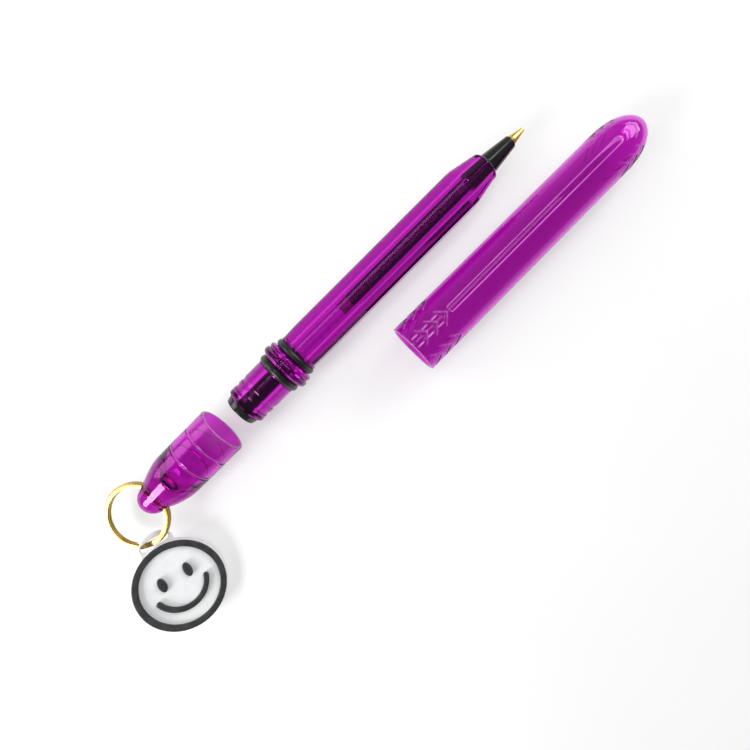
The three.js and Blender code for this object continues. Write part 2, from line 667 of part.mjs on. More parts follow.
function makeMouth() {
  const start = degrees(-90 - MOUTH_HALF_ANGLE);
  const end = degrees(-90 + MOUTH_HALF_ANGLE);
  const stroke = MOUTH_STROKE / 2;
  const radius = faceRadius - MOUTH_INSET - stroke + MOUTH_ARC_ABOVE_CENTRE;
  const at = (angle) => [radius * Math.cos(angle), radius * Math.sin(angle)];
  const shape = new THREE.Shape();
  shape.absarc(0, 0, radius + stroke, start, end, false);
  shape.absarc(...at(end), stroke, end, end + Math.PI, false);
  shape.absarc(0, 0, radius - stroke, end, start, true);
  shape.absarc(...at(start), stroke, start + Math.PI, start + 2 * Math.PI, false);
  const bottom = baseTop + SLIP;
  const mouth = slab(shape, bottom, bottom + CHARM_RELIEF, 14);
  mouth.translate(0, discCentreY + MOUTH_ARC_ABOVE_CENTRE, 0);
  return toSolid(mouth);
}

const axisHeight = Math.max(LONG_CAP_MOUTH_DIAMETER, BULGE_DIAMETER, END_CAP_DIAMETER) / 2;

const barrelUnit = new THREE.Group();
barrelUnit.position.set(BARREL_REAR_X, PEN_AXIS_Y, axisHeight);
barrelUnit.add(named('barrel', makeBarrel(), plastic));
const frontSeal = named('front_o_ring', makeSeal(FRONT_SEAL_SECTION), rubber);
frontSeal.position.x = FRONT_SEAL_AT;
const rearSeal = named('rear_o_ring', makeSeal(REAR_SEAL_SECTION), rubber);
rearSeal.position.x = REAR_SEAL_AT;
barrelUnit.add(frontSeal, rearSeal);
barrelUnit.add(named('rear_plug', makeRearPlug(), blackPlastic));
barrelUnit.add(named('refill_tube', tube(tubeStart, tubeEnd, TUBE_DIAMETER, TUBE_BORE), clearPlastic));
barrelUnit.add(named('ink_column', rod(inkStart, inkEnd, tubeFit), ink));
barrelUnit.add(named('grease_follower', rod(greaseStart, greaseEnd, tubeFit), grease));
barrelUnit.add(named('tip_holder', makeTipHolder(), blackPlastic));
barrelUnit.add(named('writing_point', makeWritingPoint(), brass));
const ball = named('writing_ball', toSolid(new THREE.SphereGeometry(BALL_DIAMETER / 2, 12, 8)), carbide);
ball.position.x = ballCentre;
barrelUnit.add(ball);

const longCap = named('long_cap', makeLongCap(), plastic);
longCap.position.set(LONG_CAP_MOUTH_X, LONG_CAP_AXIS_Y, axisHeight);

// The end cap's stations run from its mouth towards -X.
const endCap = named('end_cap', makeEndCap(), plastic);
const endCapMouthX = BARREL_REAR_X - END_CAP_PARTING;
endCap.position.set(endCapMouthX, PEN_AXIS_Y, axisHeight);
endCap.rotation.z = Math.PI;

// The ring hangs in the cross hole and slopes down from it towards -X.
const holeX = endCapMouthX - END_CAP_LENGTH + CROSS_HOLE_FROM_TAIL;
const ringRadius = (RING_DIAMETER - RING_WIRE_WIDTH) / 2;
const arcRise = ringRadius - Math.sqrt(ringRadius ** 2 - (TAIL_BULB_DIAMETER / 2) ** 2);
const ringUnit = new THREE.Group();
ringUnit.position.set(holeX, PEN_AXIS_Y, axisHeight);
ringUnit.rotation.y = -degrees(RING_TILT);
const splitRing = named('split_ring', makeSplitRing(), gold);
splitRing.position.x = arcRise / 2 - ringRadius;
ringUnit.add(splitRing);

// The charm hangs on the wire at an angle round the ring from the side that faces -Y.
const charmAngle = degrees(-90 - CHARM_ON_RING);
const charmUnit = new THREE.Group();
charmUnit.position.set(
  splitRing.position.x + ringRadius * Math.cos(charmAngle),
  ringRadius * Math.sin(charmAngle),
  0,
);
ringUnit.updateMatrixWorld();
charmUnit.position.applyMatrix4(ringUnit.matrixWorld);
charmUnit.rotation.set(degrees(CHARM_RISE), degrees(CHARM_ROLL), -degrees(CHARM_ON_RING), 'ZXY');
charmUnit.add(named('charm_base', makeCharmBase(), whiteVinyl));
charmUnit.add(named('charm_outline', makeCharmOutline(), darkVinyl));
charmUnit.add(named('charm_left_eye', makeEye(-1), darkVinyl));
charmUnit.add(named('charm_right_eye', makeEye(1), darkVinyl));
charmUnit.add(named('charm_mouth', makeMouth(), darkVinyl));

const pen = new THREE.Group();
pen.add(barrelUnit, longCap, endCap, ringUnit, charmUnit);

// The origin is below the middle of everything, on the floor.
const bounds = new THREE.Box3().setFromObject(pen, true);
const middle = bounds.getCenter(new THREE.Vector3());
pen.position.set(-middle.x, -middle.y, -bounds.min.z);

export default pen;
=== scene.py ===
"""A pocket pen taken apart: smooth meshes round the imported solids, with floor, lights and camera."""
import json
import logging
import math
from dataclasses import dataclass
from enum import Enum
from functools import partial
from typing import Callable, Sequence

import bmesh
import bpy
import numpy as np
from mathutils import Matrix, Vector


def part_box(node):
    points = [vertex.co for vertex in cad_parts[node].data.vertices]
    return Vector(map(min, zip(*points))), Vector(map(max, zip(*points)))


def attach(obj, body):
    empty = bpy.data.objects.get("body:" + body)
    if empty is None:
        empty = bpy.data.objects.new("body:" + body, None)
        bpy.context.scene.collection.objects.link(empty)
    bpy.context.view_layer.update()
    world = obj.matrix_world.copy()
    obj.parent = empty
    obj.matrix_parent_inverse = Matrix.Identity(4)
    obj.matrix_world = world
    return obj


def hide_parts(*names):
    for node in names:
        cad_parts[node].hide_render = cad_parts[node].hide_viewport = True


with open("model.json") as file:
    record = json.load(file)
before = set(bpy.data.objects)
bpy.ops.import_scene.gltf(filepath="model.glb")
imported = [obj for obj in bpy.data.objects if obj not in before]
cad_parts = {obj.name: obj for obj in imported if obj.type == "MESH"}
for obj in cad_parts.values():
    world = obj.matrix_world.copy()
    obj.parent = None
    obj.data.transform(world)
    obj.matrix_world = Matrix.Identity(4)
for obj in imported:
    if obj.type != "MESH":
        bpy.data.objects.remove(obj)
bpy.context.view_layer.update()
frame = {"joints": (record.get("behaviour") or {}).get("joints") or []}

log = logging.getLogger("pocket_pen")

MM = 0.001
SMOOTH_ANGLE = math.radians(38)
WELD_DISTANCE = 2e-8
SUPPORT_DISTANCE = 0.04
SMALLEST_ROUND = 1e-4
LARGEST_ROUND_SHARE = 0.46
# The name of the mark for the painted highlight on moulded edges.
EDGE_HIGHLIGHT = "painted_edge_highlight"


class Slot(Enum):
    """The material slots of the record that the pieces take their finish from."""

    MAGENTA_PLASTIC = "magenta_plastic"
    O_RING_RUBBER = "o_ring_rubber"
    BLACK_PLASTIC = "black_plastic"
    CLEAR_PLASTIC = "clear_plastic"
    INK = "ink"
    GREASE = "grease"
    BRASS = "brass"
    CARBIDE = "carbide"
    GOLD_PLATED_STEEL = "gold_plated_steel"
    WHITE_VINYL = "white_vinyl"
    DARK_VINYL = "dark_vinyl"


class Body(Enum):
    """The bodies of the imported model."""

    BARREL_UNIT = "barrel_unit"
    BALL = "ball"
    LONG_CAP = "long_cap"
    END_CAP = "end_cap"
    KEY_RING = "key_ring"
    CHARM = "charm"


@dataclass(frozen=True)
class Seat:
    """Where a turned unit lies: the point of its station 0 and the way its stations run.

    Attributes:
        origin: station 0 on the unit's axis, in metres.
        forward: 1 where stations run towards +X, -1 where they run towards -X.
    """

    origin: Vector
    forward: float = 1.0

    def place(self, points: np.ndarray) -> np.ndarray:
        """Turns points of (station, across, up) in millimetres into places in metres."""
        turn = np.array([self.forward, self.forward, 1.0])
        return points * turn * MM + np.array(self.origin)

    def local(self, points: np.ndarray) -> np.ndarray:
        """Turns places in metres back into (station, across, up) in millimetres."""
        turn = np.array([self.forward, self.forward, 1.0])
        return (points - np.array(self.origin)) / MM * turn


def box_middle(node: str) -> Vector:
    """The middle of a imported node's box."""
    low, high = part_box(node)
    return (low + high) / 2


def full_turn(count: int) -> np.ndarray:
    """Evenly spaced angles round a full turn, in radians from 0 up."""
    return np.linspace(0.0, 2.0 * math.pi, count, endpoint=False)


def bell(distance: np.ndarray, width: float) -> np.ndarray:
    """A soft line: 1 where the distance is 0, falling away over a width."""
    return np.exp(-((distance / width) ** 2))


def rounded(corners: Sequence[Sequence[float]], closed: bool = False, steps: int = 6) -> np.ndarray:
    """Rounds the corners of an outline, and keeps a support point beside each round.

    Args:
        corners: each corner's coordinates, with the length of its round last.
        closed: whether the last corner joins the first.
        steps: the number of spans in a round.

    Returns:
        The points of the rounded outline, one row each.
    """
    table = np.array(corners, float)
    points, fillets = table[:, :-1], table[:, -1]
    count = len(points)
    result: list[np.ndarray] = []
    for i in range(count):
        here = points[i]
        if not closed and i in (0, count - 1):
            result.append(here)
            continue
        back = points[i - 1] - here
        ahead = points[(i + 1) % count] - here
        room = min(np.linalg.norm(back), np.linalg.norm(ahead))
        reach = min(fillets[i], LARGEST_ROUND_SHARE * room)
        if reach < SMALLEST_ROUND:
            result.append(here)
            continue
        back = back / np.linalg.norm(back)
        ahead = ahead / np.linalg.norm(ahead)
        start, end = here + back * reach, here + ahead * reach
        supported = room - reach > 3 * SUPPORT_DISTANCE
        if supported:
            result.append(here + back * (reach + SUPPORT_DISTANCE))
        for share in np.linspace(0.0, 1.0, steps + 1):
            result.append((1 - share) ** 2 * start + 2 * share * (1 - share) * here + share**2 * end)
        if supported:
            result.append(here + ahead * (reach + SUPPORT_DISTANCE))
    return np.array(result)


def ringed(station: np.ndarray, radius: np.ndarray, angles: np.ndarray) -> np.ndarray:
    """Rings of points at given stations and radii.

    Args:
        station: a station for each ring, as a column, or one for each point.
        radius: the radii, laid out in the same way.
        angles: the angles of each ring's points from straight up, in radians.

    Returns:
        An array of rings, points and the three local coordinates.
    """
    across, up = radius * np.sin(angles), radius * np.cos(angles)
    return np.stack([np.broadcast_to(station, across.shape), across, up], axis=-1)


def turned_rings(profile: np.ndarray, angles: np.ndarray) -> np.ndarray:
    """Turns a profile, rows of station and radius, about the station axis."""
    return ringed(profile[:, :1], profile[:, 1:2], angles)


def round_edge(edge: float, top: float) -> list[tuple[float, float]]:
    """Insets and heights up a round edge, from its foot to its top."""
    sweep = np.radians(np.linspace(0, 90, 6))
    return [(edge * (1 - math.cos(turn)), top - edge + edge * math.sin(turn)) for turn in sweep]


def at_height(flat: np.ndarray, height: float) -> np.ndarray:
    """Lifts flat points to a height."""
    return np.concatenate([flat, np.full((len(flat), 1), height)], axis=1)


def on_circle(radius: float, angle: float | np.ndarray) -> np.ndarray:
    """Points of a circle round the origin, by their angle in radians."""
    return radius * np.stack([np.cos(angle), np.sin(angle)], axis=-1)


def linked(name: str, data: bpy.types.ID) -> bpy.types.Object:
    """Puts a new object in the scene.

    Args:
        name: the object's name.
        data: its mesh, light or camera.

    Returns:
        The object.
    """
    made = bpy.data.objects.new(name, data)
    bpy.context.scene.collection.objects.link(made)
    return made


def welded(mesh: bpy.types.Mesh) -> None:
    """Joins the doubled points of a mesh and turns its faces out.

    Args:
        mesh: the mesh to mend.
    """
    mending = bmesh.new()
    mending.from_mesh(mesh)
    bmesh.ops.remove_doubles(mending, verts=mending.verts, dist=WELD_DISTANCE)
    bmesh.ops.recalc_face_normals(mending, faces=mending.faces)
    mending.to_mesh(mesh)
    mending.free()


def mesh_object(name: str, points: np.ndarray, faces: np.ndarray) -> bpy.types.Object:
    """Makes a smooth closed mesh object whose faces point out.

    Args:
        name: the new object's name.
        points: the vertices in metres.
        faces: rows of vertex numbers.

    Returns:
        The object, linked to the scene.
    """
    mesh = bpy.data.meshes.new(name)
    mesh.from_pydata(points.reshape(-1, 3).tolist(), [], faces.tolist())
    welded(mesh)
    piece = linked(name, mesh)
    smooth(piece)
    return piece


def smooth(piece: bpy.types.Object) -> None:
    """Shades a mesh smooth apart from its sharp edges."""
    piece.data.shade_smooth()
    piece.data.set_sharp_from_angle(angle=SMOOTH_ANGLE)


def skin(name: str, rings: np.ndarray, closed: bool = False) -> bpy.types.Object:
    """Skins a row of rings; an end ring that is a single point closes as a pole.

    Args:
        name: the new object's name.
        rings: an array of rings, points and coordinates in metres.
        closed: whether the last ring joins the first.

    Returns:
        The mesh object.
    """
    count, around = rings.shape[:2]
    rows = count if closed else count - 1
    row = np.arange(rows)[:, None] * around
    following = (np.arange(rows)[:, None] + 1) % count * around
    here, beside = np.arange(around), (np.arange(around) + 1) % around
    faces = np.stack([row + here, following + here, following + beside, row + beside], axis=-1)
    return mesh_object(name, rings, faces.reshape(-1, 4))


def with_painted_highlight(
    piece: bpy.types.Object, seat: Seat, rule: Callable[[np.ndarray, np.ndarray, np.ndarray], np.ndarray]
) -> bpy.types.Object:
    """Marks where a moulded piece gets its painted highlight, a pale matt colour on its edges in place of
    their reflections.

    Args:
        piece: the finished mesh.
        seat: where the piece lies.
        rule: gives the mark, 0 to 1, from stations, angles in degrees and radii.

    Returns:
        The same piece.
    """
    flat = np.empty(3 * len(piece.data.vertices))
    piece.data.vertices.foreach_get("co", flat)
    local = seat.local(flat.reshape(-1, 3))
    angle = np.degrees(np.arctan2(local[:, 1], local[:, 2]))
    marks = rule(local[:, 0], angle, np.hypot(local[:, 1], local[:, 2]))
    layer = piece.data.attributes.new(EDGE_HIGHLIGHT, "FLOAT", "POINT")
    layer.data.foreach_set("value", np.ascontiguousarray(marks, dtype=np.float32))
    return piece


def turned(
    name: str, seat: Seat, corners: Sequence[Sequence[float]], closed: bool = False, sides: int = 128
) -> bpy.types.Object:
    """A turned piece from the corners of its profile: rows of station, radius and round."""
    rings = turned_rings(rounded(corners, closed), full_turn(sides))
    return skin(name, seat.place(rings), closed)


def combined(piece: bpy.types.Object, tool: bpy.types.Object, operation: str) -> bpy.types.Object:
    """Cuts a piece by another, or joins them, and removes the other.

    Args:
        piece: the piece that is kept.
        tool: the piece that cuts it or joins it.
        operation: DIFFERENCE or UNION.

    Returns:
        The kept piece.
    """
    modifier = piece.modifiers.new("combine", "BOOLEAN")
    modifier.operation = operation
    modifier.solver = "EXACT"
    modifier.object = tool
    applied(piece)
    bpy.data.objects.remove(tool)
    smooth(piece)
    return piece


def applied(piece: bpy.types.Object) -> None:
    """Turns a piece and its modifiers into a plain mesh.

    Args:
        piece: the object whose modifiers are applied.
    """
    bpy.context.view_layer.update()
    evaluated = piece.evaluated_get(bpy.context.evaluated_depsgraph_get())
    mesh = bpy.data.meshes.new_from_object(evaluated)
    piece.modifiers.clear()
    piece.data = mesh


class Tree:
    """A short way to write a node tree: nodes by kind, values by socket name."""

    def __init__(self, tree: bpy.types.NodeTree) -> None:
        """Keeps the tree that nodes are added to."""
        self.tree = tree

    def add(self, kind: str, settings: dict | None = None, **values: object) -> bpy.types.Node:
        """Adds a node and sets its inputs.

        Args:
            kind: the node's type name.
            settings: the node's own properties.
            values: input values or output sockets by input name, its spaces written as underscores.

        Returns:
            The new node.
        """
        node = self.tree.nodes.new(kind)
        for name, value in (settings or {}).items():
            setattr(node, name, value)
        for name, value in values.items():
            self.set(node, name.replace("_", " "), value)
        return node

    def set(self, node: bpy.types.Node, name: str | int, value: object) -> None:
        """Links an output to an input, or gives the input a value.

        Args:
            node: the node that has the input.
            name: the input's name or number.
            value: an output socket, or a plain value.
        """
        socket = node.inputs[name]
        if isinstance(value, bpy.types.NodeSocket):
            self.tree.links.new(value, socket)
        else:
            socket.default_value = value

    def math(self, operation: str, first: object, second: object) -> bpy.types.NodeSocket:
        """Adds a Math node.

        Args:
            operation: the node's operation.
            first: its first input.
            second: its second input.

        Returns:
            The node's output.
        """
        node = self.add("ShaderNodeMath", {"operation": operation})
        self.set(node, 0, first)
        self.set(node, 1, second)
        return node.outputs[0]

    def vector(self, x: object, y: object, z: object) -> bpy.types.NodeSocket:
        """Joins three values into a vector."""
        return self.add("ShaderNodeCombineXYZ", X=x, Y=y, Z=z).outputs[0]

    def surface(self, **values: object) -> bpy.types.NodeSocket:
        """Adds a surface shader with the given inputs."""
        return self.add("ShaderNodeBsdfPrincipled", **values).outputs[0]

    def noise(self, scale: float, detail: float = 2.0, stretch: tuple = (1, 1, 1)) -> bpy.types.NodeSocket:
        """Adds a noise on object coordinates, in features per metre.

        Args:
            scale: how fine the noise is.
            detail: how many finer layers it has.
            stretch: how much faster it changes along each axis.

        Returns:
            The noise value.
        """
        place = self.add("ShaderNodeTexCoord").outputs["Object"]
        mapped = self.add("ShaderNodeMapping", Vector=place, Scale=stretch)
        node = self.add("ShaderNodeTexNoise", Vector=mapped.outputs[0], Scale=scale, Detail=detail)
        return node.outputs[0]

    def range(
        self, value: object, low: float, high: float, to_low: float, to_high: float
    ) -> bpy.types.NodeSocket:
        """Maps a value from one range to another, clamped.

        Args:
            value: the value to map.
            low: the value that becomes to_low.
            high: the value that becomes to_high.
            to_low: the low end of the result.
            to_high: the high end of the result.

        Returns:
            The mapped value.
        """
        limits = {"From_Min": low, "From_Max": high, "To_Min": to_low, "To_Max": to_high}
        return self.add("ShaderNodeMapRange", Value=value, **limits).outputs[0]

    def mix(self, share: object, first: object, second: object) -> bpy.types.NodeSocket:
        """Mixes two colours.

        Args:
            share: how much of the second colour shows.
            first: the first colour.
            second: the second colour.

        Returns:
            The mixed colour.
        """
        node = self.add("ShaderNodeMix", {"data_type": "RGBA"})
        self.set(node, 0, share)
        self.set(node, 6, first)
        self.set(node, 7, second)
        return node.outputs[2]

    def bump(self, height: object, depth: float) -> bpy.types.NodeSocket:
        """Turns a height into a bumped normal, where depth is a height of 1 in metres."""
        return self.add("ShaderNodeBump", Height=height, Distance=depth, Strength=1.0).outputs[0]


def rgba(red: float, green: float, blue: float) -> tuple[float, float, float, float]:
    """A linear colour from a display colour of 0 to 255.

    Args:
        red: the red share.
        green: the green share.
        blue: the blue share.

    Returns:
        The linear colour with full alpha.
    """
    linear = []
    for value in (red / 255, green / 255, blue / 255):
        linear.append(value / 12.92 if value <= 0.04045 else ((value + 0.055) / 1.055) ** 2.4)
    return (*linear, 1.0)


@dataclass(frozen=True)
class Finish:
    """What every finish has: the slot that it belongs to and the name of its look.

    Attributes:
        slot: the record's material slot.
        look: the material's own name.
    """

    slot: Slot
    look: str

    def material(self) -> bpy.types.Material:
        """Gives the finish's material, made the first time that it is asked for.

        Returns:
            The material.
        """
        if self.look in bpy.data.materials:
            return bpy.data.materials[self.look]
        made = bpy.data.materials.new(self.look)
        made.use_nodes = True
        made.node_tree.nodes.clear()
        tree = Tree(made.node_tree)
        output = tree.add("ShaderNodeOutputMaterial")
        self.shade(tree, output)
        return made

    def shade(self, tree: Tree, output: bpy.types.Node) -> None:
        """Adds the finish's nodes.

        Args:
            tree: the material's tree.
            output: the material's output node.
        """
        raise NotImplementedError


@dataclass(frozen=True)
class TranslucentPlastic(Finish):
    """Clear moulded plastic with a dye in it, gently uneven where it flowed, with a painted highlight on
    its marked edges.

    Attributes:
        tint: the colour that each surface passes.
        dye: the colour that a depth of plastic passes.
        density: how strong the dye is, per metre.
        edge: the colour of the painted highlight on its moulded edges.
        sheen: the colour of its reflections, which the dye tints.
        index: the index of refraction.
        roughness: the surface's roughness.
        waviness: the height of the flow marks, in metres.
        highlight_roughness: the roughness of the painted highlight on its edges.
    """

    tint: tuple
    dye: tuple
    density: float
    edge: tuple
    sheen: tuple
    index: float
    roughness: float = 0.03
    waviness: float = 2.0e-5
    highlight_roughness: float = 0.3

    def shade(self, tree: Tree, output: bpy.types.Node) -> None:
        """Adds the finish's nodes.

        Args:
            tree: the material's tree.
            output: the material's output node.
        """
        flow = tree.noise(110.0, 3.0, (0.35, 1.0, 1.0))
        haze = tree.range(tree.noise(240.0, 1.0), 0.35, 0.7, self.roughness, 1.6 * self.roughness)
        clear = tree.surface(
            Base_Color=self.tint,
            Roughness=haze,
            IOR=self.index,
            Normal=tree.bump(flow, self.waviness),
            Transmission_Weight=1.0,
            Specular_Tint=self.sheen,
        )
        depth = tree.add("ShaderNodeVolumeAbsorption", Color=self.dye, Density=self.density)
        # Painted highlight: where the edge mark is set, a pale opaque surface in the edge colour stands in
        # for reflections, broken into patches by noise.
        edge_highlight = tree.add("ShaderNodeAttribute", {"attribute_name": EDGE_HIGHLIGHT})
        patchy = tree.range(tree.noise(700.0, 4.0, (0.3, 1.0, 1.0)), 0.3, 0.62, 0.55, 1.0)
        both = tree.add("ShaderNodeMixShader")
        tree.set(both, 0, tree.math("MULTIPLY", edge_highlight.outputs["Fac"], patchy))
        tree.set(both, 1, clear)
        tree.set(both, 2, tree.surface(Base_Color=self.edge, Roughness=self.highlight_roughness))
        tree.set(output, "Surface", both.outputs[0])
        tree.set(output, "Volume", depth.outputs[0])


@dataclass(frozen=True)
class GlossPlastic(Finish):
    """Opaque moulded plastic or a wet fill with a fine orange-peel skin.

    Attributes:
        colour: the plain colour.
        patchy: the colour of its faint cloudy patches.
        roughness: the surface's roughness.
        peel: the height of the skin's texture, in metres.
        peel_scale: the texture's fineness, per metre.
        shine: how much it reflects, 0.5 where it meets air.
    """

    colour: tuple
    patchy: tuple
    roughness: float
    peel: float = 3.0e-6
    peel_scale: float = 2500.0
    shine: float = 0.5

    def shade(self, tree: Tree, output: bpy.types.Node) -> None:
        """Adds the finish's nodes.

        Args:
            tree: the material's tree.
            output: the material's output node.
        """
        cloud = tree.noise(420.0, 4.0)
        surface = tree.surface(
            Base_Color=tree.mix(tree.range(cloud, 0.45, 0.75, 0.0, 1.0), self.colour, self.patchy),
            Roughness=tree.range(cloud, 0.3, 0.7, self.roughness, self.roughness + 0.08),
            Normal=tree.bump(tree.noise(self.peel_scale, 2.0), self.peel),
            Specular_IOR_Level=self.shine,
        )
        tree.set(output, "Surface", surface)


@dataclass(frozen=True)
class Rubber(Finish):
    """Black rubber with a soft greenish sheen, dust specks and a faint mould grain.

    Attributes:
        colour: the rubber's colour.
        speck: the colour of its specks.
        roughness: the surface's roughness.
    """

    colour: tuple
    speck: tuple
    roughness: float

    def shade(self, tree: Tree, output: bpy.types.Node) -> None:
        """Adds the finish's nodes.

        Args:
            tree: the material's tree.
            output: the material's output node.
        """
        specks = tree.range(tree.noise(1500.0, 6.0), 0.58, 0.72, 0.0, 0.55)
        uneven = tree.noise(600.0, 3.0)
        surface = tree.surface(
            Base_Color=tree.mix(specks, self.colour, self.speck),
            Roughness=tree.range(uneven, 0.3, 0.7, self.roughness, self.roughness + 0.15),
            Normal=tree.bump(tree.noise(3200.0, 3.0), 6.0e-6),
            Sheen_Weight=0.08,
            Sheen_Tint=rgba(170, 200, 185),
        )
        tree.set(output, "Surface", surface)


@dataclass(frozen=True)
class Metal(Finish):
    """Polished or plated metal with fine turning or drawing lines.

    Attributes:
        colour: the metal's colour.
        tarnish: the colour of its duller patches.
        roughness: the surface's roughness.
        line_scale: the fineness of its lines, per metre.
        line_stretch: how the lines run along each axis.
    """

    colour: tuple
    tarnish: tuple
    roughness: float
    line_scale: float = 2600.0
    line_stretch: tuple = (1.0, 1.0, 1.0)

    def shade(self, tree: Tree, output: bpy.types.Node) -> None:
        """Adds the finish's nodes.

        Args:
            tree: the material's tree.
            output: the material's output node.
        """
        patches = tree.range(tree.noise(350.0, 4.0), 0.45, 0.7, 0.0, 0.6)
        lines = tree.noise(self.line_scale, 3.0, self.line_stretch)
        surface = tree.surface(
            Base_Color=tree.mix(patches, self.colour, self.tarnish),
            Metallic=1.0,
            Roughness=tree.range(lines, 0.3, 0.7, self.roughness, self.roughness + 0.08),
            Normal=tree.bump(lines, 2.0e-6),
        )
        tree.set(output, "Surface", surface)


@dataclass(frozen=True)
class Vinyl(Finish):
    """Soft poured vinyl: satin, slightly uneven, with small pits.

    Attributes:
        colour: the vinyl's colour.
        shade_colour: the colour of its duller patches.
        roughness: the surface's roughness.
        pits: how deep the pits are, in metres.
        softness: how much light passes below its surface.
    """

    colour: tuple
    shade_colour: tuple
    roughness: float
    pits: float
    softness: float = 0.0

    def shade(self, tree: Tree, output: bpy.types.Node) -> None:
        """Adds the finish's nodes.

        Args:
            tree: the material's tree.
            output: the material's output node.
        """
        cloud = tree.range(tree.noise(500.0, 5.0), 0.42, 0.72, 0.0, 1.0)
        pitted = tree.math("MULTIPLY", tree.noise(1300.0, 4.0), tree.noise(520.0, 3.0))
        soft = {
            "Subsurface_Weight": self.softness,
            "Subsurface_Radius": (1.0, 0.9, 0.8),
            "Subsurface_Scale": 0.0008,
        }
        surface = tree.surface(
            Base_Color=tree.mix(cloud, self.colour, self.shade_colour),
            Roughness=tree.range(pitted, 0.15, 0.4, self.roughness + 0.12, self.roughness),
            Normal=tree.bump(pitted, self.pits),
            **(soft if self.softness else {}),
        )
        tree.set(output, "Surface", surface)


MAGENTA_DYE = (0.85, 0.0, 0.83, 1.0)
# The colour of the painted highlight on the moulded edges.
MAGENTA_HIGHLIGHT = rgba(255, 160, 246)
MAGENTA_SHEEN = (1.0, 0.5, 0.94, 1.0)
SHELL = TranslucentPlastic(
    Slot.MAGENTA_PLASTIC,
    "magenta_shell",
    tint=(0.74, 0.09, 0.715, 1.0),
    dye=MAGENTA_DYE,
    density=430.0,
    edge=MAGENTA_HIGHLIGHT,
    sheen=MAGENTA_SHEEN,
    index=1.47,
)
GRIP = TranslucentPlastic(
    Slot.MAGENTA_PLASTIC,
    "magenta_grip",
    tint=(0.80, 0.13, 0.775, 1.0),
    dye=MAGENTA_DYE,
    density=260.0,
    edge=MAGENTA_HIGHLIGHT,
    sheen=MAGENTA_SHEEN,
    index=1.42,
    roughness=0.0,
    waviness=1.0e-5,
)
CLEAR = TranslucentPlastic(
    Slot.CLEAR_PLASTIC,
    "clear_tube",
    tint=(0.93, 0.94, 0.96, 1.0),
    dye=(0.86, 0.88, 0.92, 1.0),
    density=60.0,
    edge=rgba(240, 240, 244),
    sheen=(1.0, 1.0, 1.0, 1.0),
    index=1.49,
    roughness=0.0,
    waviness=1.0e-5,
)
BLACK = GlossPlastic(
    Slot.BLACK_PLASTIC, "black_moulding", rgba(10, 11, 11), rgba(24, 26, 26), roughness=0.1
)
INK = GlossPlastic(Slot.INK, "black_ink", rgba(3, 3, 5), rgba(7, 6, 9), roughness=0.5, shine=0.03)
GREASE = GlossPlastic(
    Slot.GREASE, "pale_grease", rgba(226, 218, 186), rgba(206, 196, 158), roughness=0.35, peel=8.0e-6
)
RUBBER = Rubber(
    Slot.O_RING_RUBBER, "seal_rubber", rgba(10, 13, 12), rgba(74, 72, 40), roughness=0.26
)
BRASS = Metal(
    Slot.BRASS,
    "turned_brass",
    rgba(236, 212, 108),
    rgba(206, 170, 70),
    roughness=0.18,
    line_stretch=(6.0, 0.6, 0.6),
)
CARBIDE = Metal(
    Slot.CARBIDE, "ground_carbide", rgba(120, 120, 122), rgba(84, 84, 88), roughness=0.2
)
GOLD = Metal(
    Slot.GOLD_PLATED_STEEL, "gold_plate", rgba(184, 156, 92), rgba(146, 110, 52), roughness=0.2
)
WHITE = Vinyl(
    Slot.WHITE_VINYL,
    "white_vinyl_skin",
    rgba(248, 249, 250),
    rgba(240, 242, 243),
    roughness=0.42,
    pits=6.0e-6,
    softness=0.15,
)
DARK = Vinyl(
    Slot.DARK_VINYL, "dark_vinyl_fill", rgba(40, 41, 42), rgba(60, 61, 62), roughness=0.42, pits=4.5e-5
)


def hand_over(piece: bpy.types.Object, finish: Finish, body: Body, *nodes: str) -> None:
    """Gives a piece its finish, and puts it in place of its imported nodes.

    Args:
        piece: the finished mesh.
        finish: what it is made of.
        body: the body that it moves with.
        nodes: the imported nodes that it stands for.
    """
    piece.data.materials.clear()
    piece.data.materials.append(finish.material())
    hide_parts(*nodes)
    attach(piece, body.value)
    log.info("%s: %d faces, rides on %s", piece.name, len(piece.data.polygons), body.value)


def node_tool(name: str, sizes: dict[str, float]) -> tuple[bpy.types.NodeTree, Tree, bpy.types.Node]:
    """Starts a geometry node tree with named sizes.

    Args:
        name: the tree's name.
        sizes: the named inputs and their first values.

    Returns:
        The tree, a writer for it and its input node.
    """
    group = bpy.data.node_groups.new(name, "GeometryNodeTree")
    group.interface.new_socket("Geometry", in_out="INPUT", socket_type="NodeSocketGeometry")
    for label, value in sizes.items():
        kind = "NodeSocketInt" if isinstance(value, int) else "NodeSocketFloat"
        group.interface.new_socket(label, in_out="INPUT", socket_type=kind).default_value = value
    group.interface.new_socket("Material", in_out="INPUT", socket_type="NodeSocketMaterial")
    group.interface.new_socket("Geometry", in_out="OUTPUT", socket_type="NodeSocketGeometry")
    tree = Tree(group)
    return group, tree, tree.add("NodeGroupInput")


def close_tool(tree: Tree, given: bpy.types.Node, shape: bpy.types.NodeSocket) -> None:
    """Ends a geometry node tree: smooth, real geometry with its material.

    Args:
        tree: the writer of the tree.
        given: the tree's input node.
        shape: the geometry to hand out.
    """
    even = tree.add("GeometryNodeSetShadeSmooth", Geometry=shape)
    real = tree.add("GeometryNodeRealizeInstances", Geometry=even.outputs[0])
    material = given.outputs["Material"]
    dressed = tree.add("GeometryNodeSetMaterial", Geometry=real.outputs[0], Material=material)
    tree.set(tree.add("NodeGroupOutput"), 0, dressed.outputs[0])


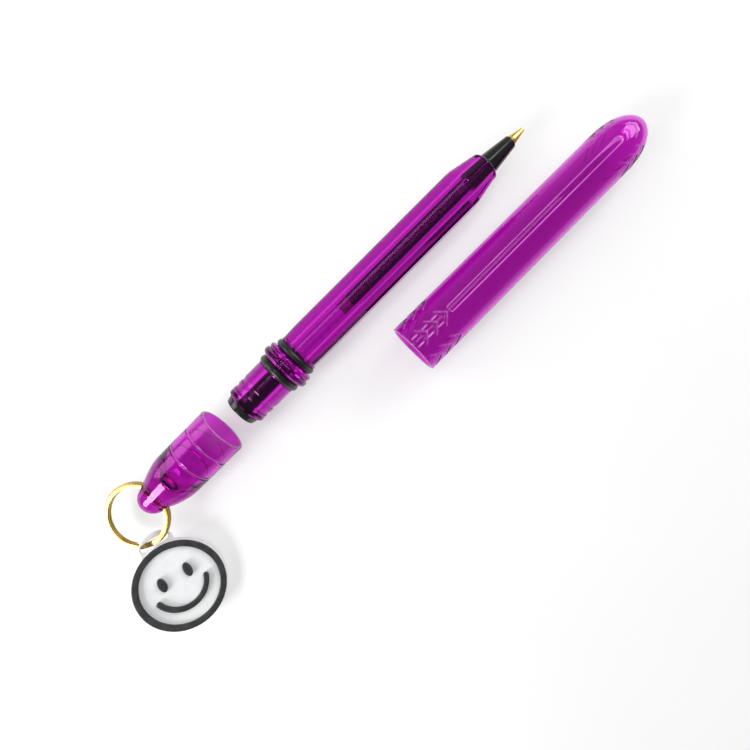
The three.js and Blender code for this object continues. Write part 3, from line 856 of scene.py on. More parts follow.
def grown(name: str, group: bpy.types.NodeTree, values: dict[str, object]) -> bpy.types.Object:
    """Runs a geometry node tree and keeps its result as a plain mesh.

    Args:
        name: the new object's name.
        group: the geometry node tree.
        values: the inputs to set, by name.

    Returns:
        The mesh object, with faces pointing out.
    """
    piece = linked(name, bpy.data.meshes.new(name))
    modifier = piece.modifiers.new(name, "NODES")
    modifier.node_group = group
    for item in group.interface.items_tree:
        if item.in_out == "INPUT" and item.name in values:
            modifier[item.identifier] = values[item.name]
    applied(piece)
    welded(piece.data)
    return piece


@dataclass
class BarrelUnit:
    """The barrel with its O-rings, rear plug and refill. Stations run from the plug's rear face.

    Attributes hold real sizes in millimetres: diameters, lengths and stations.
    """

    clearance: float = 0.05
    bore: float = 4.2
    flange_length: float = 1.6
    flange_diameter: float = 8.44
    flange_rear_diameter: float = 7.7
    plug_shank_length: float = 9.8
    spigot_diameter: float = 9.75
    ridge_diameter: float = 9.72
    groove_diameter: float = 9.4
    ridge_width: float = 1.6
    rear_seal_at: float = 12.65
    rear_seal_section: float = 2.0
    front_seal_at: float = 17.9
    front_seal_section: float = 1.76
    seal_centre_diameter: float = 8.84
    bulge_diameter: float = 12.3
    front_lobe_diameter: float = 11.8
    collar_diameter: float = 10.04
    collar_flats: float = 9.2
    grip_flats: float = 9.4
    grip_corners: float = 10.3
    flare_length: float = 3.2
    taper_start: float = 71.8
    taper_corners: float = 10.1
    lip_start: float = 78.7
    lip_length: float = 0.65
    lip_flats: float = 6.74
    lip_corners: float = 7.3
    lip_face_diameter: float = 5.7
    edge_round: float = 0.05
    tube_diameter: float = 3.0
    tube_bore: float = 2.2
    tube_length: float = 52.8
    ink_length: float = 34.8
    grease_length: float = 2.6
    nipple_length: float = 2.8
    shank_length: float = 6.35
    holder_base_diameter: float = 5.14
    holder_nose_diameter: float = 3.1
    holder_length: float = 7.7
    ink_channel: float = 1.0
    point_base_diameter: float = 2.4
    point_tip_diameter: float = 0.9
    point_length: float = 3.95
    point_shank_length: float = 5.0
    point_channel: float = 0.4
    ball_diameter: float = 0.7
    ball_showing: float = 0.25

    def __post_init__(self) -> None:
        """Finds the unit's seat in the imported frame, and the stations that follow from its sizes."""
        axis = box_middle("refill_tube")
        low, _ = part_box("rear_plug")
        self.seat = Seat(Vector((low.x, axis.y, axis.z)))
        self.spigot_start = self.flange_length + self.clearance
        self.lip_end = self.lip_start + self.lip_length
        self.shank_start = self.lip_end - self.shank_length
        self.nipple_start = self.shank_start - self.nipple_length
        self.tube_end = self.shank_start - self.clearance
        self.ink_end = self.nipple_start - self.clearance
        self.ink_start = self.ink_end - self.ink_length
        self.holder_base = self.lip_end + self.clearance
        self.holder_nose = self.holder_base + self.holder_length
        self.point_base = self.holder_nose + self.clearance
        self.point_rim = self.point_base + self.point_length
        self.ball_centre = self.point_rim + self.ball_showing - self.ball_diameter / 2
        self.fit = self.tube_bore - 2 * self.clearance
        self.shank_diameter = self.bore - 2 * self.clearance

    def build(self) -> None:
        """Builds every piece of the unit and dresses it."""
        hand_over(self.barrel(), GRIP, Body.BARREL_UNIT, "barrel")
        self.seals()
        hand_over(self.plug(), BLACK, Body.BARREL_UNIT, "rear_plug")
        self.refill()
        hand_over(self.holder(), BLACK, Body.BARREL_UNIT, "tip_holder")
        hand_over(self.point(), BRASS, Body.BARREL_UNIT, "writing_point")
        hand_over(self.ball(), CARBIDE, Body.BALL, "writing_ball")

    def section_angles(self) -> np.ndarray:
        """Angles round the barrel, close together where flats meet the rounded corners.

        Returns:
            The angles from straight up, in radians.
        """
        from_flat = np.concatenate([[0, 6, 12, 17], np.arange(19.5, 27.6, 0.5), [28.8]])
        half = np.concatenate([-from_flat[:0:-1], from_flat])
        side = np.concatenate([[-30.0], half])
        return np.radians(np.concatenate([side + 30 + 60 * k for k in range(6)]))

    def section_rings(self, sections: np.ndarray) -> np.ndarray:
        """Rings of the barrel: a hexagon with its corner up, cut by a circle.

        Args:
            sections: rows of station, width across flats and diameter across corners.

        Returns:
            An array of rings, points and the three local coordinates.
        """
        angles = self.section_angles()
        from_flat = np.abs(np.degrees(angles) % 60 - 30)
        flat = sections[:, 1:2] / 2 / np.cos(np.radians(from_flat))
        corner = sections[:, 2:3] / 2
        share = np.clip(0.5 + 0.5 * (corner - flat) / self.edge_round, 0, 1)
        radius = corner * (1 - share) + flat * share - self.edge_round * share * (1 - share)
        return ringed(sections[:, :1], radius, angles)

    def barrel(self) -> bpy.types.Object:
        """The one-piece moulding: spigot, seal grooves, bulge, grip and front lip.

        Returns:
            The mesh object.
        """
        start = self.spigot_start
        spigot, groove = self.spigot_diameter, self.groove_diameter
        rear_start = self.rear_seal_at - self.rear_seal_section / 2 - self.clearance
        rear_end = self.rear_seal_at + self.rear_seal_section / 2 + self.clearance
        front_start = self.front_seal_at - self.front_seal_section / 2 - self.clearance
        front_end = self.front_seal_at + self.front_seal_section / 2 + self.clearance
        rear_floor = self.seal_centre_diameter - self.rear_seal_section - 2 * self.clearance
        front_floor = self.seal_centre_diameter - self.front_seal_section - 2 * self.clearance
        ridge_end = start + 0.4 + self.ridge_width
        second = ridge_end + 1.2
        second_end = second + self.ridge_width / 2
        span = front_start - rear_end
        lobe, front_lobe = self.bulge_diameter, self.front_lobe_diameter
        turned_part = [
            (start, self.bore, 0.05),
            (start, self.flange_diameter, 0.05),
            (start + 0.4, self.ridge_diameter, 0.25),
            (ridge_end, self.ridge_diameter, 0.2),
            (ridge_end + 0.3, groove, 0.15),
            (second - 0.3, groove, 0.15),
            (second, spigot, 0.15),
            (second_end, spigot, 0.15),
            (second_end + 0.3, groove, 0.15),
            (second_end + 0.8, groove, 0.15),
            (second_end + 1.2, spigot, 0.25),
            (rear_start, spigot, 0.1),
            (rear_start, rear_floor, 0.2),
            (rear_end, rear_floor, 0.2),
            (rear_end, self.collar_diameter, 0.05),
            (rear_end + 0.03 * span, lobe - 1.0, 0.3),
            (rear_end + 0.17 * span, lobe, 0.6),
            (rear_end + 0.46 * span, lobe, 0.5),
            (rear_end + 0.6 * span, front_lobe - 0.55, 0.18),
            (rear_end + 0.7 * span, front_lobe, 0.3),
            (rear_end + 0.9 * span, front_lobe, 0.4),
            (front_start, front_lobe - 1.1, 0.3),
            (front_start, front_floor, 0.2),
            (front_end, front_floor, 0.2),
            (front_end, self.collar_diameter, 0.12),
            (front_end + 0.34, self.collar_diameter, 0.12),
        ]
        corners = [(station, 1.25 * width, width, fillet) for station, width, fillet in turned_part]
        hexagon = front_end + 0.5
        corners += [
            (hexagon, self.collar_flats, self.collar_diameter - 0.1, 0.08),
            (hexagon + self.flare_length, self.grip_flats, self.grip_corners, 1.4),
            (self.taper_start - 1.2, self.grip_flats, self.grip_corners, 0.5),
            (self.taper_start, self.grip_flats, self.taper_corners, 0.55),
            (self.lip_start, self.lip_flats, self.lip_corners, 0.2),
            (self.lip_start + 0.7 * self.lip_length, self.lip_corners, self.lip_flats - 0.3, 0.2),
            (self.lip_end, self.lip_corners, self.lip_face_diameter, 0.1),
            (self.lip_end, self.lip_corners, self.bore, 0.05),
        ]
        rings = self.section_rings(rounded(corners, closed=True))
        return skin("barrel_moulding", self.seat.place(rings), closed=True)

    def seals(self) -> None:
        """The two O-rings, each a round section carried round the barrel."""
        names = ("Ring radius", "Section radius", "Station", "Axis Y", "Axis Z")
        group, tree, given = node_tool("o_ring", dict.fromkeys(names, 0.0))
        out = given.outputs
        circle = "GeometryNodeCurvePrimitiveCircle"
        path = tree.add(circle, Resolution=160, Radius=out["Ring radius"]).outputs[0]
        section = tree.add(circle, Resolution=48, Radius=out["Section radius"]).outputs[0]
        body = tree.add("GeometryNodeCurveToMesh", Curve=path, Profile_Curve=section)
        placed = tree.add(
            "GeometryNodeTransform",
            Geometry=body.outputs[0],
            Rotation=(0.0, math.pi / 2, 0.0),
            Translation=tree.vector(out["Station"], out["Axis Y"], out["Axis Z"]),
        )
        close_tool(tree, given, placed.outputs[0])
        sections = (
            ("front_o_ring", self.front_seal_at, self.front_seal_section),
            ("rear_o_ring", self.rear_seal_at, self.rear_seal_section),
        )
        for node, station, diameter in sections:
            radii = (self.seal_centre_diameter / 2 * MM, diameter / 2 * MM)
            place = self.seat.place(np.array([station, 0.0, 0.0])).tolist()
            values = dict(zip(names, (*radii, *place)))
            values["Material"] = RUBBER.material()
            hand_over(grown(f"{node}_rubber", group, values), RUBBER, Body.BARREL_UNIT, node)

    def plug(self) -> bpy.types.Object:
        """The black plug in the rear of the spigot.

        Returns:
            The mesh object.
        """
        shank = self.shank_diameter / 2
        end = self.flange_length + self.plug_shank_length
        corners = [
            (0.12, 0, 0),
            (0.12, 2.2, 0.1),
            (0, 2.5, 0.1),
            (0, self.flange_rear_diameter / 2 - 0.2, 0.25),
            (0.15, self.flange_rear_diameter / 2, 0.2),
            (self.flange_length, self.flange_diameter / 2, 0.12),
            (self.flange_length, shank, 0.05),
            (end - 0.5, shank, 0.2),
            (end, shank - 0.5, 0.2),
            (end, 0, 0),
        ]
        return turned("rear_plug_moulding", self.seat, corners)

    def refill(self) -> None:
        """The clear tube, the ink in it and the grease behind the ink."""
        start, end, edge = self.tube_end - self.tube_length, self.tube_end, 0.06
        outer, inner = self.tube_diameter / 2, self.tube_bore / 2
        tube = [(start, inner, edge), (start, outer, edge), (end, outer, edge), (end, inner, edge)]
        piece = turned("refill_clear_tube", self.seat, tube, closed=True, sides=96)
        hand_over(piece, CLEAR, Body.BARREL_UNIT, "refill_tube")
        radius = self.fit / 2
        ink = [
            (self.ink_start + 0.3, 0, 0),
            (self.ink_start + 0.25, radius * 0.6, 0.3),
            (self.ink_start, radius, 0.05),
            (self.ink_end, radius, 0.05),
            (self.ink_end, 0, 0),
        ]
        hand_over(turned("ink_fill", self.seat, ink, sides=72), INK, Body.BARREL_UNIT, "ink_column")
        grease_end = self.ink_start - self.clearance
        grease = [
            (grease_end - self.grease_length + 0.25, 0, 0),
            (grease_end - self.grease_length + 0.2, radius * 0.6, 0.3),
            (grease_end - self.grease_length, radius, 0.05),
            (grease_end, radius, 0.05),
            (grease_end + 0.15, radius * 0.6, 0.2),
            (grease_end + 0.2, 0, 0),
        ]
        piece = turned("grease_fill", self.seat, grease, sides=72)
        hand_over(piece, GREASE, Body.BARREL_UNIT, "grease_follower")

    def holder(self) -> bpy.types.Object:
        """The black cone that carries the writing point, with its shank and nipple.

        Returns:
            The mesh object.
        """
        pocket = self.point_base_diameter / 2 - self.clearance
        pocket_end = self.point_base - self.point_shank_length - self.clearance
        shank = self.shank_diameter / 2
        base, nose = self.holder_base_diameter / 2, self.holder_nose_diameter / 2
        corners = [
            (self.nipple_start, self.ink_channel / 2, 0.05),
            (self.nipple_start, self.fit / 2 - 0.2, 0.05),
            (self.nipple_start + 0.4, self.fit / 2, 0.1),
            (self.shank_start, self.fit / 2, 0.05),
            (self.shank_start, shank, 0.1),
            (self.holder_base, shank, 0.05),
            (self.holder_base, base, 0.15),
            (self.holder_nose, nose, 0.28),
            (self.holder_nose, pocket, 0.05),
            (pocket_end, pocket, 0.05),
            (pocket_end, self.ink_channel / 2, 0.05),
        ]
        return turned("tip_holder_moulding", self.seat, corners, closed=True)

    def point(self) -> bpy.types.Object:
        """The brass cone that holds the ball.

        Returns:
            The mesh object.
        """
        shank = self.point_base_diameter / 2 - 2 * self.clearance
        cup = self.ball_diameter / 2 + 0.03
        rim = math.sqrt((self.ball_diameter / 2) ** 2 - (self.point_rim - self.ball_centre) ** 2) + 0.02
        shank_start = self.point_base - self.point_shank_length
        corners = [
            (shank_start, self.point_channel / 2, 0.03),
            (shank_start, shank, 0.1),
            (self.point_base, shank, 0.02),
            (self.point_base, self.point_base_diameter / 2, 0.1),
            (self.point_base + 0.6, self.point_base_diameter / 2, 0.1),
            (self.point_rim - 0.15, self.point_tip_diameter / 2 + 0.03, 0.06),
            (self.point_rim, self.point_tip_diameter / 2, 0.04),
            (self.point_rim, rim, 0.01),
            (self.ball_centre, cup, 0.05),
            (self.ball_centre - cup, cup, 0.1),
            (self.ball_centre - cup - 0.2, self.point_channel / 2, 0.05),
        ]
        return turned("writing_point_turning", self.seat, corners, closed=True, sides=96)

    def ball(self) -> bpy.types.Object:
        """The ball in the point.

        Returns:
            The mesh object.
        """
        sweep = np.linspace(0.0, math.pi, 25)
        half = self.ball_diameter / 2
        profile = np.stack([self.ball_centre - np.cos(sweep) * half, np.sin(sweep) * half], axis=1)
        profile[[0, -1], 1] = 0.0
        return skin("writing_ball_turning", self.seat.place(turned_rings(profile, full_turn(48))))


@dataclass
class LongCap:
    """The long cap: a tapered shell with a closed dome, a channel and moulded arrows.

    Attributes hold real sizes in millimetres and angles in degrees; fades and the strengths of the painted
    highlight are shares.
    Stations run from the mouth.
    """

    length: float = 73.4
    mouth_diameter: float = 12.6
    end_diameter: float = 11.75
    dome_length: float = 10.9
    dome_power: float = 2.2
    mouth_bore: float = 11.0
    end_bore: float = 10.4
    end_wall: float = 0.8
    lip: float = 0.15
    channel_width: float = 1.75
    channel_depth: float = 0.3
    channel_start: float = 11.1
    channel_end_from_top: float = 9.3
    columns: int = 6
    rows: int = 3
    arm_reach: float = 2.33
    line_width: float = 0.42
    line_setback: float = 0.3
    arrow_depth: float = 0.16
    arrow_pitch: float = 2.97
    mouth_apex: float = 4.85
    dome_apex_from_top: float = 9.5
    dome_pitch: float = 2.6
    dome_fade: float = 0.45
    side_setback: float = 1.1
    column_reach: float = 75.0
    plate_width: float = 2.35
    plate_length: float = 3.5
    plate_depth: float = 0.2
    roll: float = 6.5
    # The strengths of the painted highlight on the channel, plates, arrows and mouth, and how far in from
    # the outside it reaches.
    channel_highlight: float = 0.75
    plate_highlight: float = 0.8
    arrow_highlight: float = 0.3
    rim_highlight: float = 0.4
    highlight_skin: float = 0.45

    def __post_init__(self) -> None:
        """Finds the cap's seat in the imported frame."""
        low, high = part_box("long_cap")
        self.seat = Seat(Vector((low.x, (low.y + high.y) / 2, (low.z + high.z) / 2)))
        self.dome_start = self.length - self.dome_length

    def build(self) -> None:
        """Builds the cap and dresses it."""
        hand_over(self.shell(), SHELL, Body.LONG_CAP, "long_cap")

    def outer_radius(self, station: np.ndarray) -> np.ndarray:
        """The plain outer radius, without channel or arrows.

        Args:
            station: stations from the mouth.

        Returns:
            The radius at each station.
        """
        share = np.clip(station / self.dome_start, 0, 1)
        straight = (self.mouth_diameter * (1 - share) + self.end_diameter * share) / 2
        along = np.clip((station - self.dome_start) / self.dome_length, 0, 1)
        return straight * np.sqrt(1 - along**self.dome_power)

    def stations(self) -> np.ndarray:
        """Stations of the outer rings, close together where arrows are cut.

        Returns:
            The stations in rising order.
        """
        first = np.arange(0.3, 12.01, 0.14)
        middle = np.array([12.3, 14, 20, 27, 34, 41, 48, 54, 57])
        last = np.arange(58.0, 71.01, 0.15)
        crown = self.length - 2.3 * (1 - np.linspace(0.08, 1.0, 14)) ** 2
        return np.concatenate([first, middle, last, crown])

    def angles(self) -> np.ndarray:
        """Angles round the cap, closer together at the channel's edges.

        Returns:
            The angles from straight up, in degrees.
        """
        edge = math.degrees(self.channel_width / self.mouth_diameter)
        near = np.concatenate([np.arange(-2.1, 2.11, 0.35) + side * edge + self.roll for side in (-1, 1)])
        even = np.arange(-180.0, 180.0, 1.5)
        distance = np.abs(even[:, None] - near[None, :]).min(axis=1)
        return np.sort(np.concatenate([even[distance > 0.5], near]))

    @staticmethod
    def ease(value: np.ndarray, low: float, high: float) -> np.ndarray:
        """A smooth step from 0 at low to 1 at high."""
        share = np.clip((value - low) / (high - low), 0, 1)
        return share * share * (3 - 2 * share)

    def from_column(self, angle: np.ndarray, column: int) -> np.ndarray:
        """Angles in degrees, measured from the middle of a column of arrows."""
        return (angle - self.roll - 360.0 * column / self.columns + 180) % 360 - 180

    def apexes(self, column: int) -> list[tuple[float, float]]:
        """The stations of the arrow points in a column.

        Args:
            column: the column's number, 0 for the top one.

        Returns:
            A pair for each row: the arrow at the mouth and the one on the dome.
        """
        setback = self.side_setback if column else 0.0
        mouth = self.mouth_apex - setback
        dome = self.length - self.dome_apex_from_top - setback
        return [(mouth + row * self.arrow_pitch, dome + row * self.dome_pitch) for row in range(self.rows)]

    def arrow(self, station: np.ndarray, across: np.ndarray, apex: float, plate: bool) -> np.ndarray:
        """The depth of one moulded arrow: a cut V, and behind it a shallow plate.

        Args:
            station: stations of the points.
            across: their distance round the cap from the arrow's middle.
            apex: the station of the arrow's point.
            plate: whether the shallow plate is there.

        Returns:
            The depth in millimetres.
        """
        side = np.abs(across)
        from_line = np.abs(apex - station - side - self.line_setback) / math.sqrt(2)
        depth = self.arrow_depth * (1 - self.ease(from_line, 0.04, self.line_width / 2 + 0.12))
        depth = depth * (1 - self.ease(side, self.arm_reach - 0.35, self.arm_reach))
        if not plate:
            return depth
        half = self.plate_width / 2
        inside = self.ease(apex - station - side, 0.85, 1.25) * (1 - self.ease(side, half - 0.2, half))
        inside = inside * (1 - self.ease(apex - station, self.plate_length, self.plate_length + 1.0))
        return depth + self.plate_depth * inside

    def relief(self, station: np.ndarray, angle: np.ndarray, radius: np.ndarray) -> np.ndarray:
        """The depth of everything cut into the cap's outside.

        Args:
            station: stations of the points.
            angle: their angles from straight up, in degrees.
            radius: the plain radius there.

        Returns:
            The depth in millimetres.
        """
        depth = np.zeros(np.broadcast(station, angle).shape)
        for column in range(self.columns):
            turn = self.from_column(angle, column)
            across = np.radians(turn) * radius
            near = np.abs(turn) < self.column_reach
            plate = column == 0
            fade = self.dome_fade if plate else 1.0
            for mouth, dome in self.apexes(column):
                depth = np.maximum(depth, near * self.arrow(station, across, mouth, plate))
                depth = np.maximum(depth, near * fade * self.arrow(station, across, dome, False))
        side, half = self.channel_side(station, angle, radius)
        inside = 1 - self.ease(side, half - 0.14, half + 0.14)
        inside = inside * self.ease(station, self.channel_start, self.channel_start + 0.4)
        return np.maximum(depth, self.channel_depth * inside * (np.abs(angle) < 90))

    def channel_side(self, station: np.ndarray, angle: np.ndarray, radius: np.ndarray) -> tuple:
        """How far points lie from the channel's middle line, and its half width.

        Args:
            station: stations of the points.
            angle: their angles from straight up, in degrees.
            radius: the plain radius there.

        Returns:
            The distance and the half width, in millimetres.
        """
        half = self.channel_width / 2
        end = self.length - self.channel_end_from_top - half
        across = np.radians(self.from_column(angle, 0)) * radius
        return np.hypot(np.clip(station - end, 0, None), across), half

    def edge_highlight(self, station: np.ndarray, angle: np.ndarray, radius: np.ndarray) -> np.ndarray:
        """Where the painted highlight lies on the moulded edges: the channel's sides, the plates, the
        arrows and the mouth.

        Args:
            station: stations of the points.
            angle: their angles from straight up, in degrees.
            radius: their radii.

        Returns:
            The mark, 0 to 1.
        """
        plain = self.outer_radius(station)
        top = np.abs(angle) < 90
        side, half = self.channel_side(station, angle, plain)
        along = self.ease(station, self.channel_start, self.channel_start + 0.5)
        mark = self.channel_highlight * top * along * bell(side - half + 0.04, 0.1)
        reach = np.abs(np.radians(angle - self.roll) * plain)
        sides = bell(reach - self.plate_width / 2 + 0.08, 0.15)
        for apex, _ in self.apexes(0):
            behind = apex - station
            span = self.ease(behind, 2.2, 2.7) * (1 - self.ease(behind, 3.7, 4.3))
            mark = np.maximum(mark, self.plate_highlight * top * sides * span)
        for column in range(self.columns):
            away = np.abs(np.radians(self.from_column(angle, column)) * plain)
            arms = 1 - self.ease(away, self.arm_reach - 0.5, self.arm_reach)
            for apex, _ in self.apexes(column):
                line = bell(apex - station - away - self.line_setback, 0.22)
                mark = np.maximum(mark, self.arrow_highlight * line * arms)
        outside = radius > plain - self.highlight_skin
        return np.maximum(mark * outside, self.rim_highlight * bell(station, 0.2))

    def shell(self) -> bpy.types.Object:
        """The cap's one closed mesh, outside and inside.

        Returns:
            The mesh object.
        """
        angles = self.angles()
        turn = np.radians(angles)
        station, angle = np.meshgrid(self.stations(), angles, indexing="ij")
        plain = self.outer_radius(station)
        outside = ringed(station, plain - self.relief(station, angle, plain), turn)
        mouth = rounded(
            [
                (1.0, self.mouth_bore / 2, 0),
                (self.lip, self.mouth_bore / 2, 0.1),
                (0, self.mouth_bore / 2 + self.lip, 0.1),
                (0, self.mouth_diameter / 2 - self.lip, 0.1),
                (self.lip, self.mouth_diameter / 2, 0.1),
                (station[0, 0], plain[0, 0], 0),
            ],
            steps=4,
        )[:-1]
        depth = self.length - self.end_wall - self.dome_start
        sweep = np.radians(np.linspace(0, 90, 25))
        dome_radius = np.sin(sweep) * self.end_bore / 2
        dome = np.stack([self.dome_start + np.cos(sweep) * depth, dome_radius], axis=1)
        straight = np.linspace(self.dome_start, 1.0, 8)[1:-1]
        share = 1 - straight / self.dome_start
        bore = np.stack([straight, (self.end_bore * (1 - share) + self.mouth_bore * share) / 2], axis=1)
        inside = turned_rings(np.concatenate([dome, bore, mouth]), turn)
        shell = skin("long_cap_moulding", self.seat.place(np.concatenate([inside, outside])))
        return with_painted_highlight(shell, self.seat, self.edge_highlight)


@dataclass
class EndCap:
    """The bullet-shaped end cap; stations run from its mouth towards its tail.

    Attributes hold real sizes in millimetres; the strengths of the painted highlight are shares.
    """

    length: float = 25.5
    diameter: float = 12.1
    bore: float = 10.5
    deep_bore: float = 10.1
    lip: float = 0.15
    groove_depth: float = 0.18
    groove_width: float = 0.7
    grooves: tuple = (4.9, 10.05)
    shoulder: float = 15.0
    neck: float = 20.9
    neck_diameter: float = 8.3
    bulb_diameter: float = 7.3
    cavity_depth: float = 17.4
    hole_diameter: float = 3.1
    hole_from_tail: float = 4.3
    hole_straight: float = 4.6
    hole_mouth: float = 4.3
    hole_flare: float = 1.6
    hole_round: float = 1.2
    hole_reach: float = 6.0
    # The strengths of the painted highlight at the mouth and in the grooves.
    rim_highlight: float = 0.4
    groove_highlight: float = 0.25

    def __post_init__(self) -> None:
        """Finds the cap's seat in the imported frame."""
        low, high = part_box("end_cap")
        self.seat = Seat(Vector((high.x, (low.y + high.y) / 2, (low.z + high.z) / 2)), forward=-1.0)

    def build(self) -> None:
        """Builds the cap and dresses it."""
        hand_over(self.shell(), SHELL, Body.END_CAP, "end_cap")

    def shell(self) -> bpy.types.Object:
        """The turned shell with the cross hole through its tail.

        Returns:
            The mesh object.
        """
        outer, deep, mouth = self.diameter / 2, self.deep_bore / 2, self.bore / 2
        corners = [
            (self.cavity_depth, 0, 0),
            (self.cavity_depth - 0.1, 1.3, 0.6),
            (self.cavity_depth - 0.7, 2.4, 0.9),
            (self.cavity_depth - 2.5, 3.75, 1.6),
            (self.shoulder - 2.5, deep - 0.35, 2.0),
            (self.shoulder - 5.5, deep, 2.0),
            (self.lip, mouth, 0.1),
            (0, mouth + self.lip, 0.1),
            (0, outer - self.lip, 0.1),
            (self.lip, outer, 0.1),
        ]
        half, floor = self.groove_width / 2, outer - self.groove_depth
        sides = ((-half, outer - 0.02), (-0.08, floor), (0.08, floor), (half, outer - 0.04))
        for groove in self.grooves:
            corners += [(groove + shift, radius, 0.1) for shift, radius in sides]
        shoulder, neck = outer - 0.12, self.neck_diameter / 2
        corners.append((self.shoulder, shoulder, 1.0))
        for share in (0.25, 0.5, 0.75):
            station = self.shoulder + share * (self.neck - self.shoulder)
            corners.append((station, shoulder + (neck - shoulder) * share**1.35, 0.7))
        corners.append((self.neck, neck, 0.35))
        bulb = self.bulb_diameter / 2
        centre = self.length - bulb
        for angle in np.radians(np.arange(78, 1, -6)):
            corners.append((centre + bulb * math.cos(angle), bulb * math.sin(angle), 0.15))
        corners.append((self.length, 0, 0))
        shell = turned("end_cap_moulding", self.seat, corners, sides=160)
        return with_painted_highlight(combined(shell, self.hole(), "DIFFERENCE"), self.seat, self.edge_highlight)

    def edge_highlight(self, station: np.ndarray, angle: np.ndarray, radius: np.ndarray) -> np.ndarray:
        """Where the painted highlight lies: the cap's mouth and the floors of its grooves.

        Args:
            station: stations of the points.
            angle: their angles from straight up, in degrees; not used.
            radius: their radii.

        Returns:
            The mark, 0 to 1.
        """
        mark = self.rim_highlight * bell(station, 0.2)
        outside = radius > self.bore / 2 + 0.3
        for groove in self.grooves:
            mark = np.maximum(mark, self.groove_highlight * bell(station - groove, 0.16) * outside)
        return mark

    def hole(self) -> bpy.types.Object:
        """The cutter of the cross hole, flared towards its mouths so that the ring's wire can swing.

        Returns:
            The mesh object.
        """
        middle = self.length - self.hole_from_tail
        radius, mouth = self.hole_diameter / 2, self.hole_mouth / 2
        half = [(self.hole_reach, 0), (self.hole_reach, mouth)]
        half += [(self.hole_reach - self.hole_flare, mouth), (self.hole_straight / 2, radius)]
        both = half + [(-x, y) for x, y in reversed(half)]
        rings = turned_rings(rounded([(*at, self.hole_round) for at in both]), full_turn(72))
        turned_across = np.stack([rings[..., 1] + middle, rings[..., 0], rings[..., 2]], axis=-1)
        return skin("cross_hole_cutter", self.seat.place(turned_across))


@dataclass
class KeyRing:
    """The split ring: flat wire wound twice, hung in the end cap's cross hole.

    Attributes hold real sizes in millimetres and angles in degrees.
    """

    diameter: float = 16.0
    wire_width: float = 1.3
    wire_height: float = 0.6
    wire_round: float = 0.2
    turn_gap: float = 0.08
    step_arc: float = 30.0
    split_at: float = 200.0
    end_gap: float = 4.0
    tilt: float = 9.0
    box_margin: float = 0.02

    def __post_init__(self) -> None:
        """Works out where the wire's middle lies, and its radius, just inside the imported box."""
        joint = next(j for j in frame["joints"] if j["name"] == "key_ring_swing")
        self.hole = Vector(joint["pos_m"])
        self.radius = (self.diameter - self.wire_width) / 2 - self.box_margin
        low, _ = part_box("split_ring")
        tilt = math.radians(self.tilt)
        reach = self.hole.x - self.diameter / 2 * MM * math.cos(tilt) - low.x
        self.offset = -reach / math.cos(tilt) - self.wire_height * MM * math.tan(tilt)

    def build(self) -> None:
        """Builds the ring and dresses it."""
        hand_over(self.wire(), GOLD, Body.KEY_RING, "split_ring")

    def wire(self) -> bpy.types.Object:
        """The wound wire, made along a spiral whose height steps up half way.

        Returns:
            The mesh object.
        """
        first = self.step_arc / 2 + self.end_gap
        turns = (720 - 2 * first) / 360
        sizes = {
            "Radius": self.radius * MM,
            "Turns": turns,
            "Level": (self.wire_height + self.turn_gap) / 2 * MM,
            "Step share": self.step_arc / 2 / 360 / turns,
            "Width": self.wire_width * MM,
            "Height": self.wire_height * MM,
            "Round": self.wire_round * MM,
            "Start angle": math.radians(self.split_at + first),
            "Offset": self.offset,
            "Tilt": -math.radians(self.tilt),
            "Hole X": self.hole.x,
            "Hole Y": self.hole.y,
            "Hole Z": self.hole.z,
        }
        group, tree, given = node_tool("split_ring_wire", sizes)
        out = given.outputs
        spiral = tree.add(
            "GeometryNodeCurveSpiral",
            Resolution=110,
            Rotations=out["Turns"],
            Start_Radius=out["Radius"],
            End_Radius=out["Radius"],
            Height=1.0,
        )
        place = tree.add("GeometryNodeInputPosition").outputs[0]
        at = tree.add("ShaderNodeSeparateXYZ", Vector=place).outputs
        climb = tree.add(
            "ShaderNodeMapRange",
            {"interpolation_type": "SMOOTHSTEP"},
            Value=at["Z"],
            From_Min=tree.math("SUBTRACT", 0.5, out["Step share"]),
            From_Max=tree.math("ADD", 0.5, out["Step share"]),
            To_Min=tree.math("MULTIPLY", out["Level"], -1.0),
            To_Max=out["Level"],
        )
        stepped = tree.vector(at["X"], at["Y"], climb.outputs[0])
        path = tree.add("GeometryNodeSetPosition", Geometry=spiral.outputs[0], Position=stepped)
        upright = tree.add("GeometryNodeSetCurveNormal", {"mode": "Z_UP"}, Curve=path.outputs[0])
        rectangle = "GeometryNodeCurvePrimitiveQuadrilateral"
        section = tree.add(rectangle, Width=out["Width"], Height=out["Height"]).outputs[0]
        fillet = {"mode": "POLY"}
        soft = tree.add("GeometryNodeFilletCurve", fillet, Curve=section, Radius=out["Round"], Count=5)
        body = tree.add(
            "GeometryNodeCurveToMesh",
            Curve=upright.outputs[0],
            Profile_Curve=soft.outputs[0],
            Fill_Caps=True,
        )
        flat = tree.add(
            "GeometryNodeTransform",
            Geometry=body.outputs[0],
            Rotation=tree.vector(0.0, 0.0, out["Start angle"]),
            Translation=tree.vector(out["Offset"], 0.0, 0.0),
        )
        hung = tree.add(
            "GeometryNodeTransform",
            Geometry=flat.outputs[0],
            Rotation=tree.vector(0.0, out["Tilt"], 0.0),
            Translation=tree.vector(out["Hole X"], out["Hole Y"], out["Hole Z"]),
        )
        close_tool(tree, given, hung.outputs[0])
        ring = grown("split_ring_wire", group, {"Material": GOLD.material()})
        ring.data.set_sharp_from_angle(angle=SMOOTH_ANGLE)
        return ring


